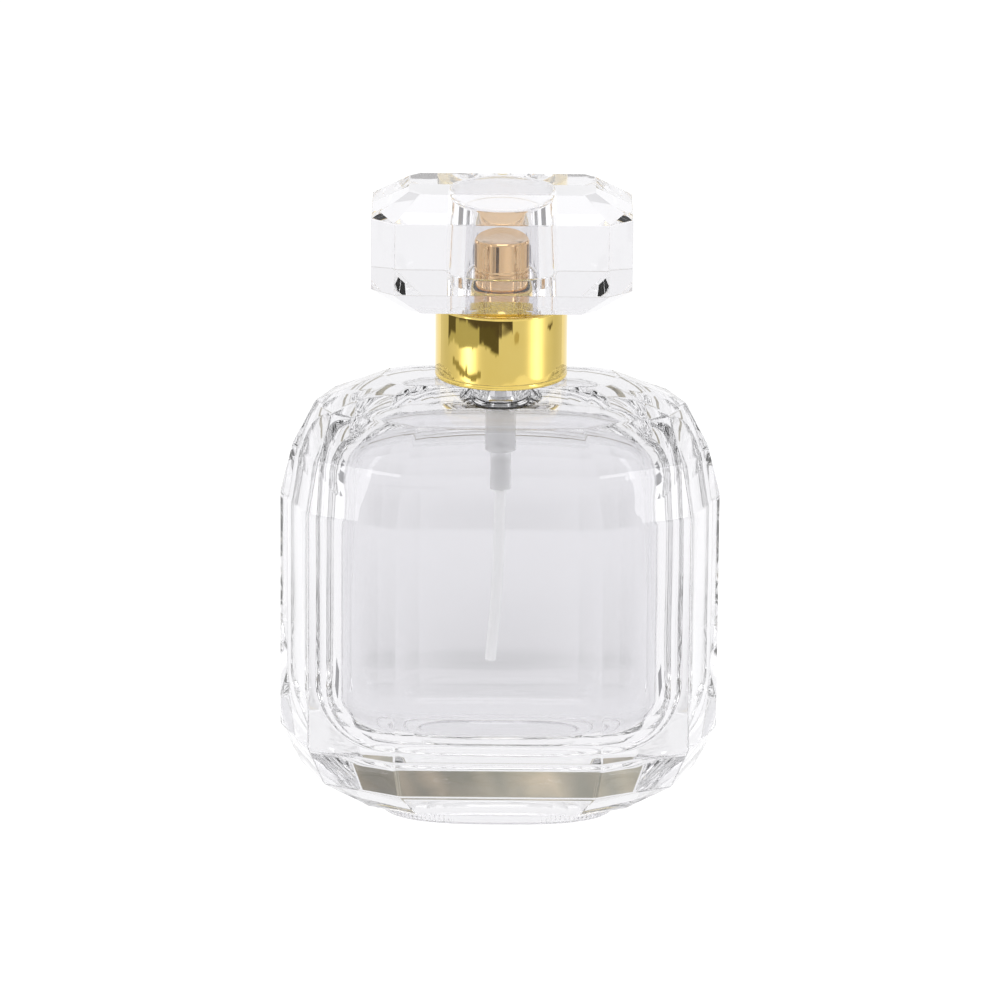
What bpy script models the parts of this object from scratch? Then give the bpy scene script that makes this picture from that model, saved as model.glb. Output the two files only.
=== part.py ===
"""Perfume bottle with a crimped spray pump, a gold collar and a faceted clear cap.

Units are metres, +Z is up, the front faces -Y, and the origin is the middle of the base.
Every round piece stands on the Z axis, which is also the axis of every joint.
"""

import math

import bmesh
import bpy
from mathutils import Vector

# Play between pieces that would touch.
GAP = 0.0003

# How far a cutter runs past the face that it cuts.
OVERCUT = 0.001

# Smoothness of round pieces.
STEPS_OUTSIDE = 48
STEPS_INSIDE = 32
SHARP_ANGLE = math.radians(32)

# Glass body: a block cut flat on all sides. A facet's azimuth turns from the front, -Y, towards +X,
# and each kind of facet is mirrored left and right, front and back.
CORNER_AZIMUTH = math.radians(28.0)
SIDE_AZIMUTH = math.radians(70.9)
# Height, then how far the front, corner and side facets reach from the axis there. Upwards: heel,
# two bevels, upright wall, three shoulder strips, crown.
BODY_LEVELS = [
    (0.0018, (0.0121, 0.0166, 0.0219)),
    (0.0066, (0.0175, 0.0228, 0.0298)),
    (0.0133, (0.02115, 0.0264, 0.03307)),
    (0.0520, (0.02115, 0.0264, 0.03307)),
    (0.0600, (0.01915, 0.0241, 0.0312)),
    (0.0670, (0.0153, 0.0196, 0.0278)),
    (0.0712, (0.0060, 0.0121, 0.0180)),
]
FOOT_HALF_WIDTH = 0.0189
FOOT_HALF_DEPTH = 0.0119
FOOT_SQUARENESS = 2.8
FOOT_ROUNDING = 0.0008
FOOT_TOP = 0.0030

# Glass neck: a 15 mm crimp finish.
NECK_RADIUS = 0.00675
NECK_ROOT = 0.0690
BEAD_RADIUS = 0.0075
BEAD_BOTTOM = 0.0733
BEAD_CHAMFER = 0.0005
LIP_TOP = 0.0764
BORE_RADIUS = 0.0048

# Hollow inside the glass: rounded floor, upright wall, domed shoulder, neck bore.
CAVITY_HALF_WIDTH = 0.0268
CAVITY_HALF_DEPTH = 0.0170
CAVITY_SQUARENESS = 3.0
CAVITY_FLOOR = 0.0120
CAVITY_FLOOR_ROUNDING = 0.0095
CAVITY_WALL_TOP = 0.0540
CAVITY_DOME_TOP = 0.0674
CAVITY_DOME_FULLNESS = 2.5
FLOOR_RINGS = 6
DOME_RINGS = 12

# Punt: the pill-shaped recess under the base.
PUNT_HALF_LENGTH = 0.0152
PUNT_HALF_WIDTH = 0.0085
PUNT_DEPTH = 0.0016
PUNT_SLOPE = 0.0010

# What is crimped on the lip, upwards: gasket, pump flange, turret shoulder, ferrule plate.
GASKET_THICKNESS = 0.0006
GASKET_INNER = 0.00495
FLANGE_RADIUS = 0.0073
FLANGE_THICKNESS = 0.0005
TURRET_SHOULDER_RADIUS = 0.0060
TURRET_SHOULDER_THICKNESS = 0.0004
FERRULE_WALL = 0.0004
FERRULE_RADIUS = 0.0088
FERRULE_HOLE = 0.0042
FERRULE_CURL_RADIUS = 0.0071

GASKET_BOTTOM = LIP_TOP + GAP
GASKET_TOP = GASKET_BOTTOM + GASKET_THICKNESS
FLANGE_BOTTOM = GASKET_TOP + GAP
FLANGE_TOP = FLANGE_BOTTOM + FLANGE_THICKNESS
SHOULDER_BOTTOM = FLANGE_TOP + GAP
SHOULDER_TOP = SHOULDER_BOTTOM + TURRET_SHOULDER_THICKNESS
PLATE_BOTTOM = SHOULDER_TOP + GAP
PLATE_TOP = PLATE_BOTTOM + FERRULE_WALL
CURL_TOP = BEAD_BOTTOM - GAP
CURL_BOTTOM = CURL_TOP - FERRULE_WALL

# Pump housing: seal seat, chamber, inlet valve seat and the nipple that holds the tube.
HOUSING_NECK_RADIUS = 0.0044
HOUSING_NECK_BOTTOM = 0.0735
HOUSING_RADIUS = 0.0025
HOUSING_STEP = 0.0590
HOUSING_CHAMFER = 0.0007
NIPPLE_RADIUS = 0.00165
NIPPLE_BOTTOM = 0.0515
NIPPLE_BORE = 0.0012
NIPPLE_BORE_TOP = 0.0574
SEAL_SEAT_RADIUS = 0.0036
SEAL_SEAT = 0.0755
CHAMBER_RADIUS = 0.0020
CHAMBER_FLOOR = 0.0600
INLET_RADIUS = 0.0007
BALL_RADIUS = 0.0010

# Stem and piston, which travel down together by the pump's stroke. At rest the piston is under
# the seal, which stops it, and the stem's foot rests on the spring.
STEM_RADIUS = 0.0014
STEM_TOP = 0.0900
STEM_TAIL_RADIUS = 0.0010
STEM_FOOT_RADIUS = 0.0016
STEM_FOOT_HEIGHT = 0.0006
STEM_BORE = 0.0006
STEM_BORE_BOTTOM = 0.0724
PISTON_RADIUS = CHAMBER_RADIUS - GAP / 3.0
PISTON_INNER = STEM_TAIL_RADIUS + GAP
PISTON_TOP = SEAL_SEAT
PISTON_BOTTOM = 0.0720
PISTON_WAIST = 0.0016
PISTON_LIP = 0.0008
STEM_FOOT_TOP = PISTON_BOTTOM - GAP
STEM_BOTTOM = STEM_FOOT_TOP - STEM_FOOT_HEIGHT

TURRET_RADIUS = 0.0039
TURRET_TOP = 0.0806
TURRET_PLUG_RADIUS = SEAL_SEAT_RADIUS - GAP
TURRET_PLUG_BOTTOM = 0.0768
TURRET_BORE = STEM_RADIUS + GAP
SEAL_BOTTOM = SEAL_SEAT + GAP
SEAL_TOP = TURRET_PLUG_BOTTOM - GAP

# Return spring, from the chamber's floor to the stem's foot.
SPRING_WIRE_RADIUS = 0.0002
SPRING_MEAN_RADIUS = 0.00135
SPRING_BOTTOM = CHAMBER_FLOOR + GAP
SPRING_TOP = STEM_BOTTOM - GAP
SPRING_TURNS = 7
SPRING_STEPS_PER_TURN = 12
SPRING_SIDES = 6

# Dip tube: it hangs from the nipple and bends to the left and slightly to the back.
TUBE_RADIUS = 0.0009
TUBE_BORE = 0.0005
TUBE_TOP = NIPPLE_BORE_TOP - GAP
TUBE_BOTTOM = 0.0245
TUBE_END_X = -0.0014
TUBE_END_Y = 0.0012
TUBE_STEPS = 14
TUBE_SIDES = 12

# Collar: a drawn shell with a flat shoulder and a dished boss round the button, and its liner.
COLLAR_RADIUS = 0.01045
COLLAR_WALL = 0.0005
COLLAR_BOTTOM = 0.0715
COLLAR_TOP = 0.0831
COLLAR_EDGE = 0.0004
BOSS_RADIUS = 0.0075
BOSS_TOP = 0.0868
BOSS_OPENING = 0.0069
BOSS_ROLL = 0.0002
LINER_RADIUS = COLLAR_RADIUS - COLLAR_WALL - GAP
LINER_INNER = FERRULE_RADIUS + GAP
LINER_BOTTOM = 0.0720
LINER_TOP = COLLAR_TOP - COLLAR_WALL - GAP

# Button: a gold sleeve over a plastic core. Its nozzle faces the back.
BUTTON_RADIUS = 0.0065
BUTTON_BOTTOM = 0.0838
BUTTON_TOP = 0.0946
BUTTON_WALL = 0.00035
BUTTON_EDGE = 0.0006
BUTTON_DISH_RADIUS = 0.0050
BUTTON_DISH_DEPTH = 0.0004
CORE_RADIUS = BUTTON_RADIUS - BUTTON_WALL - GAP
CORE_TOP = 0.0934
CORE_SKIRT_INNER = 0.0046
CORE_RECESS_TOP = 0.0854
CORE_SOCKET_RADIUS = STEM_RADIUS + GAP
CORE_SOCKET_TOP = STEM_TOP + GAP
NOZZLE_HEIGHT = 0.0896
NOZZLE_RADIUS = 0.0019
NOZZLE_FRONT = 0.0064
NOZZLE_BACK = 0.0042
NOZZLE_ORIFICE = 0.00025
NOZZLE_CUP_RADIUS = 0.0011
NOZZLE_CUP_DEPTH = 0.0006
CHANNEL_RADIUS = 0.0006

# Cap: an oblong block with cut corners, bevelled above and below, and a blind bore.
CAP_BOTTOM = 0.0836
CAP_TOP = 0.1024
CAP_CORNER_AZIMUTH = math.radians(45.0)
# Height, then how far the front, corner and side facets reach from the axis there.
CAP_LEVELS = [
    (CAP_BOTTOM, (0.0091, 0.0153, 0.0149)),
    (0.0874, (0.01235, 0.02065, 0.0205)),
    (0.0988, (0.01235, 0.02065, 0.0205)),
    (CAP_TOP, (0.0070, 0.0141, 0.0146)),
]
MOUTH_RADIUS = 0.0087
MOUTH_TOP = 0.0894
CAP_BORE_RADIUS = 0.0089
CAP_BORE_TOP_RADIUS = 0.0084
CAP_BORE_TOP = 0.0994
CAP_BORE_ROUNDING = 0.0007
INSERT_RADIUS = MOUTH_RADIUS - GAP
INSERT_INNER = BOSS_RADIUS + GAP
INSERT_BOTTOM = COLLAR_TOP + GAP
INSERT_TOP = MOUTH_TOP - GAP
INSERT_LIP = 0.0003


def clear_scene():
    for found in list(bpy.data.objects):
        bpy.data.objects.remove(found, do_unlink=True)


def make_material(name, colour, roughness, metallic=0.0, transmission=0.0):
    made = bpy.data.materials.new(name)
    made.use_nodes = True
    made.diffuse_color = (*colour, 1.0)
    shader = made.node_tree.nodes["Principled BSDF"]
    shader.inputs["Base Color"].default_value = (*colour, 1.0)
    shader.inputs["Roughness"].default_value = roughness
    shader.inputs["Metallic"].default_value = metallic
    shader.inputs["Transmission Weight"].default_value = transmission
    return made


def add_object(name, shape, material):
    """Turns a bmesh into an object with outward faces, smooth where the shape is round."""
    bmesh.ops.recalc_face_normals(shape, faces=shape.faces)
    mesh = bpy.data.meshes.new(name)
    shape.to_mesh(mesh)
    shape.free()
    mesh.shade_smooth()
    mesh.set_sharp_from_angle(angle=SHARP_ANGLE)
    mesh.materials.append(material)
    made = bpy.data.objects.new(name, mesh)
    bpy.context.scene.collection.objects.link(made)
    return made


def combine(target, operation, name, shape):
    """Cuts or joins a shape to an object with a Boolean modifier and a hidden helper."""
    helper = add_object(name, shape, target.data.materials[0])
    helper.hide_render = True
    helper.display_type = "WIRE"
    boolean = target.modifiers.new(name, "BOOLEAN")
    boolean.operation = operation
    boolean.solver = "EXACT"
    boolean.object = helper


def add_pivot(name, height):
    pivot = bpy.data.objects.new(name, None)
    pivot.location.z = height
    bpy.context.scene.collection.objects.link(pivot)
    return pivot


def hang(pivot, *pieces):
    """Parents pieces to a pivot on the Z axis without moving them."""
    for piece in pieces:
        piece.parent = pivot
        piece.location.z = -pivot.location.z


def cut_flat(shape, point, normal):
    """Cuts a block along a plane and closes the cut with one flat face."""
    everything = shape.verts[:] + shape.edges[:] + shape.faces[:]
    cut = bmesh.ops.bisect_plane(
        shape, geom=everything, dist=1e-8, plane_co=point, plane_no=normal, clear_outer=True
    )
    rim = [item for item in cut["geom_cut"] if isinstance(item, bmesh.types.BMEdge)]
    bmesh.ops.contextual_create(shape, geom=rim)


def faceted_block(levels, azimuths):
    """A block whose facets run from level to level. There is one azimuth for each kind of facet."""
    shape = bmesh.new()
    widest = 4.0 * max(max(reaches) for _, reaches in levels)
    bmesh.ops.create_cube(shape, size=widest)
    bottom, top = levels[0][0], levels[-1][0]
    bmesh.ops.translate(shape, verts=shape.verts, vec=(0.0, 0.0, (bottom + top) / 2.0))
    cut_flat(shape, (0.0, 0.0, bottom), (0.0, 0.0, -1.0))
    cut_flat(shape, (0.0, 0.0, top), (0.0, 0.0, 1.0))
    for (low, low_reaches), (high, high_reaches) in zip(levels, levels[1:]):
        for azimuth, low_reach, high_reach in zip(azimuths, low_reaches, high_reaches):
            for turned in facet_turns(azimuth):
                outward = Vector((math.sin(turned), -math.cos(turned), 0.0))
                rise = high - low
                normal = outward * rise + Vector((0.0, 0.0, low_reach - high_reach))
                cut_flat(shape, outward * low_reach + Vector((0.0, 0.0, low)), normal)
    return shape


def facet_turns(azimuth):
    """The azimuths of one kind of facet, mirrored left and right, front and back."""
    turns = {azimuth, -azimuth, math.pi - azimuth, azimuth - math.pi}
    if azimuth == 0.0:
        turns = {0.0, math.pi}
    if math.isclose(azimuth, math.pi / 2.0):
        turns = {azimuth, -azimuth}
    return sorted(turns)


def turn(profile, steps):
    """A body of revolution from (radius, height) points. A profile whose ends are on the axis
    makes a solid; any other is closed into a loop and makes a ring."""
    shape = bmesh.new()
    points = [shape.verts.new((radius, 0.0, height)) for radius, height in profile]
    edges = [shape.edges.new(pair) for pair in zip(points, points[1:])]
    if profile[0][0] > 0.0:
        edges.append(shape.edges.new((points[-1], points[0])))
    bmesh.ops.spin(
        shape,
        geom=points + edges,
        axis=(0.0, 0.0, 1.0),
        cent=(0.0, 0.0, 0.0),
        angle=2.0 * math.pi,
        steps=steps,
        use_merge=True,
    )
    bmesh.ops.remove_doubles(shape, verts=shape.verts, dist=1e-7)
    return shape


def add_rings(shape, rings):
    """Joins rings of points, each to the next, and returns the rings of vertices."""
    levels = [[shape.verts.new(point) for point in ring] for ring in rings]
    for lower, upper in zip(levels, levels[1:]):
        bridge(shape, lower, upper)
    return levels


def bridge(shape, lower, upper):
    for i, corner in enumerate(lower):
        shape.faces.new((corner, lower[i - 1], upper[i - 1], upper[i]))


def loft(rings):
    """A closed solid through rings that hold the same number of points."""
    shape = bmesh.new()
    levels = add_rings(shape, rings)
    shape.faces.new(levels[0])
    shape.faces.new(levels[-1])
    return shape


def rings_along(path, radius, sides):
    """Circles square to a path of vectors."""
    rings = []
    for i, point in enumerate(path):
        heading = path[min(i + 1, len(path) - 1)] - path[max(i - 1, 0)]
        across = heading.cross(Vector((0.0, 1.0, 0.0))).normalized()
        upward = across.cross(heading).normalized()
        angles = [2.0 * math.pi * k / sides for k in range(sides)]
        rings.append([point + radius * (across * math.cos(a) + upward * math.sin(a)) for a in angles])
    return rings


def oval(half_width, half_depth, squareness, height, steps=STEPS_OUTSIDE):
    """A superellipse: squareness 2 is an ellipse, and a larger one has fuller corners."""
    points = []
    for k in range(steps):
        angle = 2.0 * math.pi * k / steps
        along, across = math.cos(angle), math.sin(angle)
        x = math.copysign(abs(along) ** (2.0 / squareness), along)
        y = math.copysign(abs(across) ** (2.0 / squareness), across)
        points.append((half_width * x, half_depth * y, height))
    return points


def foot():
    """The rounded foot under the faceted body."""
    rings = []
    for i in range(4):
        angle = math.radians(90.0 * i / 3.0)
        inset = FOOT_ROUNDING * (1.0 - math.sin(angle))
        height = FOOT_ROUNDING * (1.0 - math.cos(angle))
        rings.append(oval(FOOT_HALF_WIDTH - inset, FOOT_HALF_DEPTH - inset, FOOT_SQUARENESS, height))
    rings.append(oval(FOOT_HALF_WIDTH, FOOT_HALF_DEPTH, FOOT_SQUARENESS, FOOT_TOP))
    return loft(rings)


def neck():
    """The neck with its bead, still without a bore."""
    return turn(
        [
            (0.0, LIP_TOP),
            (BEAD_RADIUS - BEAD_CHAMFER, LIP_TOP),
            (BEAD_RADIUS, LIP_TOP - BEAD_CHAMFER),
            (BEAD_RADIUS, BEAD_BOTTOM + BEAD_CHAMFER),
            (BEAD_RADIUS - BEAD_CHAMFER, BEAD_BOTTOM),
            (NECK_RADIUS, BEAD_BOTTOM),
            (NECK_RADIUS, NECK_ROOT),
            (0.0, NECK_ROOT),
        ],
        STEPS_OUTSIDE,
    )


def cavity():
    """The hollow with the neck bore on top of it."""
    rings = []
    for i in range(FLOOR_RINGS):
        angle = math.radians(90.0 * i / FLOOR_RINGS)
        inset = CAVITY_FLOOR_ROUNDING * (1.0 - math.sin(angle))
        height = CAVITY_FLOOR + CAVITY_FLOOR_ROUNDING * (1.0 - math.cos(angle))
        width, depth = CAVITY_HALF_WIDTH - inset, CAVITY_HALF_DEPTH - inset
        rings.append(oval(width, depth, CAVITY_SQUARENESS, height))
    wall_bottom = CAVITY_FLOOR + CAVITY_FLOOR_ROUNDING
    rings.append(oval(CAVITY_HALF_WIDTH, CAVITY_HALF_DEPTH, CAVITY_SQUARENESS, wall_bottom))
    for i in range(DOME_RINGS + 1):
        angle = math.radians(90.0 * i / DOME_RINGS)
        spread = max(math.cos(angle), 0.0) ** (2.0 / CAVITY_DOME_FULLNESS)
        rise = math.sin(angle) ** (2.0 / CAVITY_DOME_FULLNESS)
        width = BORE_RADIUS + (CAVITY_HALF_WIDTH - BORE_RADIUS) * spread
        depth = BORE_RADIUS + (CAVITY_HALF_DEPTH - BORE_RADIUS) * spread
        squareness = 2.0 + (CAVITY_SQUARENESS - 2.0) * spread
        height = CAVITY_WALL_TOP + (CAVITY_DOME_TOP - CAVITY_WALL_TOP) * rise
        rings.append(oval(width, depth, squareness, height))
    rings.append(oval(BORE_RADIUS, BORE_RADIUS, 2.0, LIP_TOP + OVERCUT))
    return loft(rings)


def pill(half_length, half_width, height):
    """A straight-sided outline with round ends."""
    points = []
    for k in range(STEPS_INSIDE):
        angle = 2.0 * math.pi * (k + 0.5) / STEPS_INSIDE
        middle = math.copysign(half_length - half_width, math.cos(angle))
        x = middle + half_width * math.cos(angle)
        points.append((x, half_width * math.sin(angle), height))
    return points


def punt():
    narrow = (PUNT_HALF_LENGTH - PUNT_SLOPE, PUNT_HALF_WIDTH - PUNT_SLOPE)
    return loft(
        [
            pill(PUNT_HALF_LENGTH, PUNT_HALF_WIDTH, -OVERCUT),
            pill(PUNT_HALF_LENGTH, PUNT_HALF_WIDTH, PUNT_DEPTH - PUNT_SLOPE),
            pill(*narrow, PUNT_DEPTH),
        ]
    )


def make_glass_bottle(material):
    azimuths = (0.0, CORNER_AZIMUTH, SIDE_AZIMUTH)
    bottle = add_object("glass_bottle", faceted_block(BODY_LEVELS, azimuths), material)
    combine(bottle, "UNION", "bottle_foot", foot())
    combine(bottle, "UNION", "bottle_neck", neck())
    combine(bottle, "DIFFERENCE", "bottle_cavity", cavity())
    combine(bottle, "DIFFERENCE", "bottle_punt", punt())
    return bottle


def ring_profile(inner, outer, low, high):
    return [(outer, high), (outer, low), (inner, low), (inner, high)]


def make_neck_gasket(material):
    profile = ring_profile(GASKET_INNER, FLANGE_RADIUS, GASKET_BOTTOM, GASKET_TOP)
    return add_object("neck_gasket", turn(profile, STEPS_OUTSIDE), material)


def make_crimp_ferrule(material):
    """A drawn cup: plate, skirt and the curl that grips under the bead."""
    inside = FERRULE_RADIUS - FERRULE_WALL
    profile = [
        (FERRULE_HOLE, PLATE_TOP),
        (FERRULE_RADIUS - FERRULE_WALL, PLATE_TOP),
        (FERRULE_RADIUS, PLATE_TOP - FERRULE_WALL),
        (FERRULE_RADIUS, CURL_TOP),
        (FERRULE_RADIUS - FERRULE_WALL, CURL_BOTTOM),
        (FERRULE_CURL_RADIUS, CURL_BOTTOM),
        (FERRULE_CURL_RADIUS, CURL_TOP),
        (inside, CURL_TOP),
        (inside, PLATE_BOTTOM),
        (FERRULE_HOLE, PLATE_BOTTOM),
    ]
    return add_object("crimp_ferrule", turn(profile, STEPS_OUTSIDE), material)


def make_pump_housing(material):
    """Flange, neck, chamber and nipple outside; seal seat, chamber, inlet and tube bore inside."""
    profile = [
        (SEAL_SEAT_RADIUS, FLANGE_TOP),
        (FLANGE_RADIUS, FLANGE_TOP),
        (FLANGE_RADIUS, FLANGE_BOTTOM),
        (HOUSING_NECK_RADIUS, FLANGE_BOTTOM),
        (HOUSING_NECK_RADIUS, HOUSING_NECK_BOTTOM + GAP),
        (HOUSING_RADIUS, HOUSING_NECK_BOTTOM - GAP),
        (HOUSING_RADIUS, HOUSING_STEP + HOUSING_CHAMFER),
        (HOUSING_RADIUS - HOUSING_CHAMFER, HOUSING_STEP),
        (NIPPLE_RADIUS, HOUSING_STEP),
        (NIPPLE_RADIUS, NIPPLE_BOTTOM + GAP),
        (NIPPLE_RADIUS - GAP, NIPPLE_BOTTOM),
        (NIPPLE_BORE, NIPPLE_BOTTOM),
        (NIPPLE_BORE, NIPPLE_BORE_TOP),
        (INLET_RADIUS, NIPPLE_BORE_TOP),
        (INLET_RADIUS, CHAMBER_FLOOR - INLET_RADIUS),
        (2.0 * INLET_RADIUS, CHAMBER_FLOOR),
        (CHAMBER_RADIUS, CHAMBER_FLOOR),
        (CHAMBER_RADIUS, SEAL_SEAT),
        (SEAL_SEAT_RADIUS, SEAL_SEAT),
    ]
    return add_object("pump_housing", turn(profile, STEPS_INSIDE), material)


def make_pump_turret(material):
    profile = [
        (TURRET_BORE, TURRET_TOP),
        (TURRET_RADIUS - GAP, TURRET_TOP),
        (TURRET_RADIUS, TURRET_TOP - GAP),
        (TURRET_RADIUS, SHOULDER_TOP),
        (TURRET_SHOULDER_RADIUS, SHOULDER_TOP),
        (TURRET_SHOULDER_RADIUS, SHOULDER_BOTTOM),
        (TURRET_PLUG_RADIUS, SHOULDER_BOTTOM),
        (TURRET_PLUG_RADIUS, TURRET_PLUG_BOTTOM),
        (TURRET_BORE, TURRET_PLUG_BOTTOM),
    ]
    return add_object("pump_turret", turn(profile, STEPS_INSIDE), material)


def make_stem_seal(material):
    profile = ring_profile(TURRET_BORE, TURRET_PLUG_RADIUS, SEAL_BOTTOM, SEAL_TOP)
    return add_object("stem_seal", turn(profile, STEPS_INSIDE), material)


def make_check_ball(material):
    """The ball lies in the cone of the inlet seat, a gap above it."""
    shape = bmesh.new()
    bmesh.ops.create_uvsphere(shape, u_segments=16, v_segments=10, radius=BALL_RADIUS)
    ball = add_object("check_ball", shape, material)
    ball.location.z = CHAMBER_FLOOR + BALL_RADIUS
    return ball


def make_return_spring(material):
    count = SPRING_TURNS * SPRING_STEPS_PER_TURN
    low = SPRING_BOTTOM + SPRING_WIRE_RADIUS
    high = SPRING_TOP - SPRING_WIRE_RADIUS
    path = []
    for i in range(count + 1):
        angle = 2.0 * math.pi * i / SPRING_STEPS_PER_TURN
        height = low + (high - low) * i / count
        path.append(Vector((SPRING_MEAN_RADIUS * math.cos(angle), SPRING_MEAN_RADIUS * math.sin(angle), height)))
    rings = []
    for i, point in enumerate(path):
        angle = 2.0 * math.pi * i / SPRING_STEPS_PER_TURN
        outward = Vector((math.cos(angle), math.sin(angle), 0.0))
        upward = Vector((0.0, 0.0, 1.0))
        ring = []
        for k in range(SPRING_SIDES):
            turned = 2.0 * math.pi * k / SPRING_SIDES
            ring.append(point + SPRING_WIRE_RADIUS * (outward * math.cos(turned) + upward * math.sin(turned)))
        rings.append(ring)
    return add_object("return_spring", loft(rings), material)


def make_dip_tube(material):
    """A hollow tube whose lean grows with the square of the distance below the nipple."""
    path = []
    for i in range(TUBE_STEPS + 1):
        height = TUBE_TOP + (TUBE_BOTTOM - TUBE_TOP) * i / TUBE_STEPS
        bent = max(NIPPLE_BOTTOM - height, 0.0) / (NIPPLE_BOTTOM - TUBE_BOTTOM)
        path.append(Vector((TUBE_END_X * bent**2, TUBE_END_Y * bent**2, height)))
    outside = rings_along(path, TUBE_RADIUS, TUBE_SIDES)
    inside = rings_along(path, TUBE_BORE, TUBE_SIDES)
    shape = bmesh.new()
    levels = add_rings(shape, outside + inside[::-1])
    bridge(shape, levels[-1], levels[0])
    return add_object("dip_tube", shape, material)


def make_collar(material):
    """Outside from the boss down to the lower edge, then back up inside."""
    inside = COLLAR_RADIUS - COLLAR_WALL
    profile = [
        (BOSS_OPENING, BOSS_TOP - BOSS_ROLL),
        (BOSS_OPENING + BOSS_ROLL, BOSS_TOP),
        (BOSS_RADIUS - BOSS_ROLL, BOSS_TOP),
        (BOSS_RADIUS, BOSS_TOP - BOSS_ROLL),
        (BOSS_RADIUS, COLLAR_TOP),
        (COLLAR_RADIUS - COLLAR_EDGE, COLLAR_TOP),
        (COLLAR_RADIUS, COLLAR_TOP - COLLAR_EDGE),
        (COLLAR_RADIUS, COLLAR_BOTTOM + COLLAR_EDGE / 2.0),
        (COLLAR_RADIUS - COLLAR_EDGE / 2.0, COLLAR_BOTTOM),
        (inside, COLLAR_BOTTOM),
        (inside, COLLAR_TOP - COLLAR_WALL),
        (BOSS_OPENING, COLLAR_TOP - COLLAR_WALL),
    ]
    return add_object("collar", turn(profile, STEPS_OUTSIDE), material)


def make_collar_liner(material):
    profile = ring_profile(LINER_INNER, LINER_RADIUS, LINER_BOTTOM, LINER_TOP)
    return add_object("collar_liner", turn(profile, STEPS_OUTSIDE), material)


def make_pump_stem(material):
    """A hollow stem with a thinner tail for the piston and a foot below it."""
    profile = [
        (STEM_BORE, STEM_TOP),
        (STEM_RADIUS, STEM_TOP),
        (STEM_RADIUS, PISTON_TOP + GAP),
        (STEM_TAIL_RADIUS, PISTON_TOP + GAP),
        (STEM_TAIL_RADIUS, STEM_FOOT_TOP),
        (STEM_FOOT_RADIUS, STEM_FOOT_TOP),
        (STEM_FOOT_RADIUS, STEM_BOTTOM),
        (0.0, STEM_BOTTOM),
    ]
    closed_end = [(0.0, STEM_BORE_BOTTOM), (STEM_BORE, STEM_BORE_BOTTOM)]
    return add_object("pump_stem", turn(closed_end + profile, STEPS_INSIDE), material)


def make_piston(material):
    """A waisted ring with a sealing lip at each end."""
    profile = [
        (PISTON_INNER, PISTON_TOP),
        (PISTON_RADIUS, PISTON_TOP),
        (PISTON_RADIUS, PISTON_TOP - PISTON_LIP),
        (PISTON_WAIST, PISTON_TOP - 1.5 * PISTON_LIP),
        (PISTON_WAIST, PISTON_BOTTOM + 1.5 * PISTON_LIP),
        (PISTON_RADIUS, PISTON_BOTTOM + PISTON_LIP),
        (PISTON_RADIUS, PISTON_BOTTOM),
        (PISTON_INNER, PISTON_BOTTOM),
    ]
    return add_object("piston", turn(profile, STEPS_INSIDE), material)


def make_actuator_shell(material):
    """The gold sleeve with a shallow dish for the finger and a window for the nozzle."""
    inside = BUTTON_RADIUS - BUTTON_WALL
    profile = [
        (0.0, BUTTON_TOP - BUTTON_DISH_DEPTH),
        (BUTTON_DISH_RADIUS, BUTTON_TOP - BUTTON_DISH_DEPTH / 2.0),
        (BUTTON_RADIUS - BUTTON_EDGE, BUTTON_TOP),
        (BUTTON_RADIUS, BUTTON_TOP - BUTTON_EDGE),
        (BUTTON_RADIUS, BUTTON_BOTTOM),
        (inside, BUTTON_BOTTOM),
        (inside, BUTTON_TOP - 2.0 * BUTTON_EDGE),
        (BUTTON_DISH_RADIUS, BUTTON_TOP - BUTTON_DISH_DEPTH - 1.5 * BUTTON_WALL),
        (0.0, BUTTON_TOP - BUTTON_DISH_DEPTH - 1.5 * BUTTON_WALL),
    ]
    shell = add_object("actuator_shell", turn(profile, STEPS_OUTSIDE), material)
    window = bar_to_back(NOZZLE_RADIUS + GAP, NOZZLE_BACK, BUTTON_RADIUS + OVERCUT)
    combine(shell, "DIFFERENCE", "shell_window", window)
    return shell


def bar_to_back(radius, near, far):
    """A round bar along +Y at the nozzle's height."""
    path = [Vector((0.0, near, NOZZLE_HEIGHT)), Vector((0.0, far, NOZZLE_HEIGHT))]
    angles = [2.0 * math.pi * k / STEPS_INSIDE for k in range(STEPS_INSIDE)]
    return loft(
        [
            [end + radius * Vector((math.cos(a), 0.0, math.sin(a))) for a in angles]
            for end in path
        ]
    )


def make_actuator_core(material):
    """The plastic button: skirt, stem socket, spray channel and nozzle seat."""
    profile = [
        (0.0, CORE_TOP),
        (CORE_RADIUS, CORE_TOP),
        (CORE_RADIUS, BUTTON_BOTTOM + GAP),
        (CORE_SKIRT_INNER, BUTTON_BOTTOM + GAP),
        (CORE_SKIRT_INNER, CORE_RECESS_TOP),
        (CORE_SOCKET_RADIUS, CORE_RECESS_TOP),
        (CORE_SOCKET_RADIUS, CORE_SOCKET_TOP),
        (0.0, CORE_SOCKET_TOP),
    ]
    core = add_object("actuator_core", turn(profile, STEPS_INSIDE), material)
    seat = bar_to_back(NOZZLE_RADIUS + GAP, NOZZLE_BACK - GAP, CORE_RADIUS + OVERCUT)
    combine(core, "DIFFERENCE", "nozzle_seat", seat)
    channel = bar_to_back(CHANNEL_RADIUS, CORE_SOCKET_RADIUS - OVERCUT, NOZZLE_BACK)
    combine(core, "DIFFERENCE", "spray_channel", channel)
    return core


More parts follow.
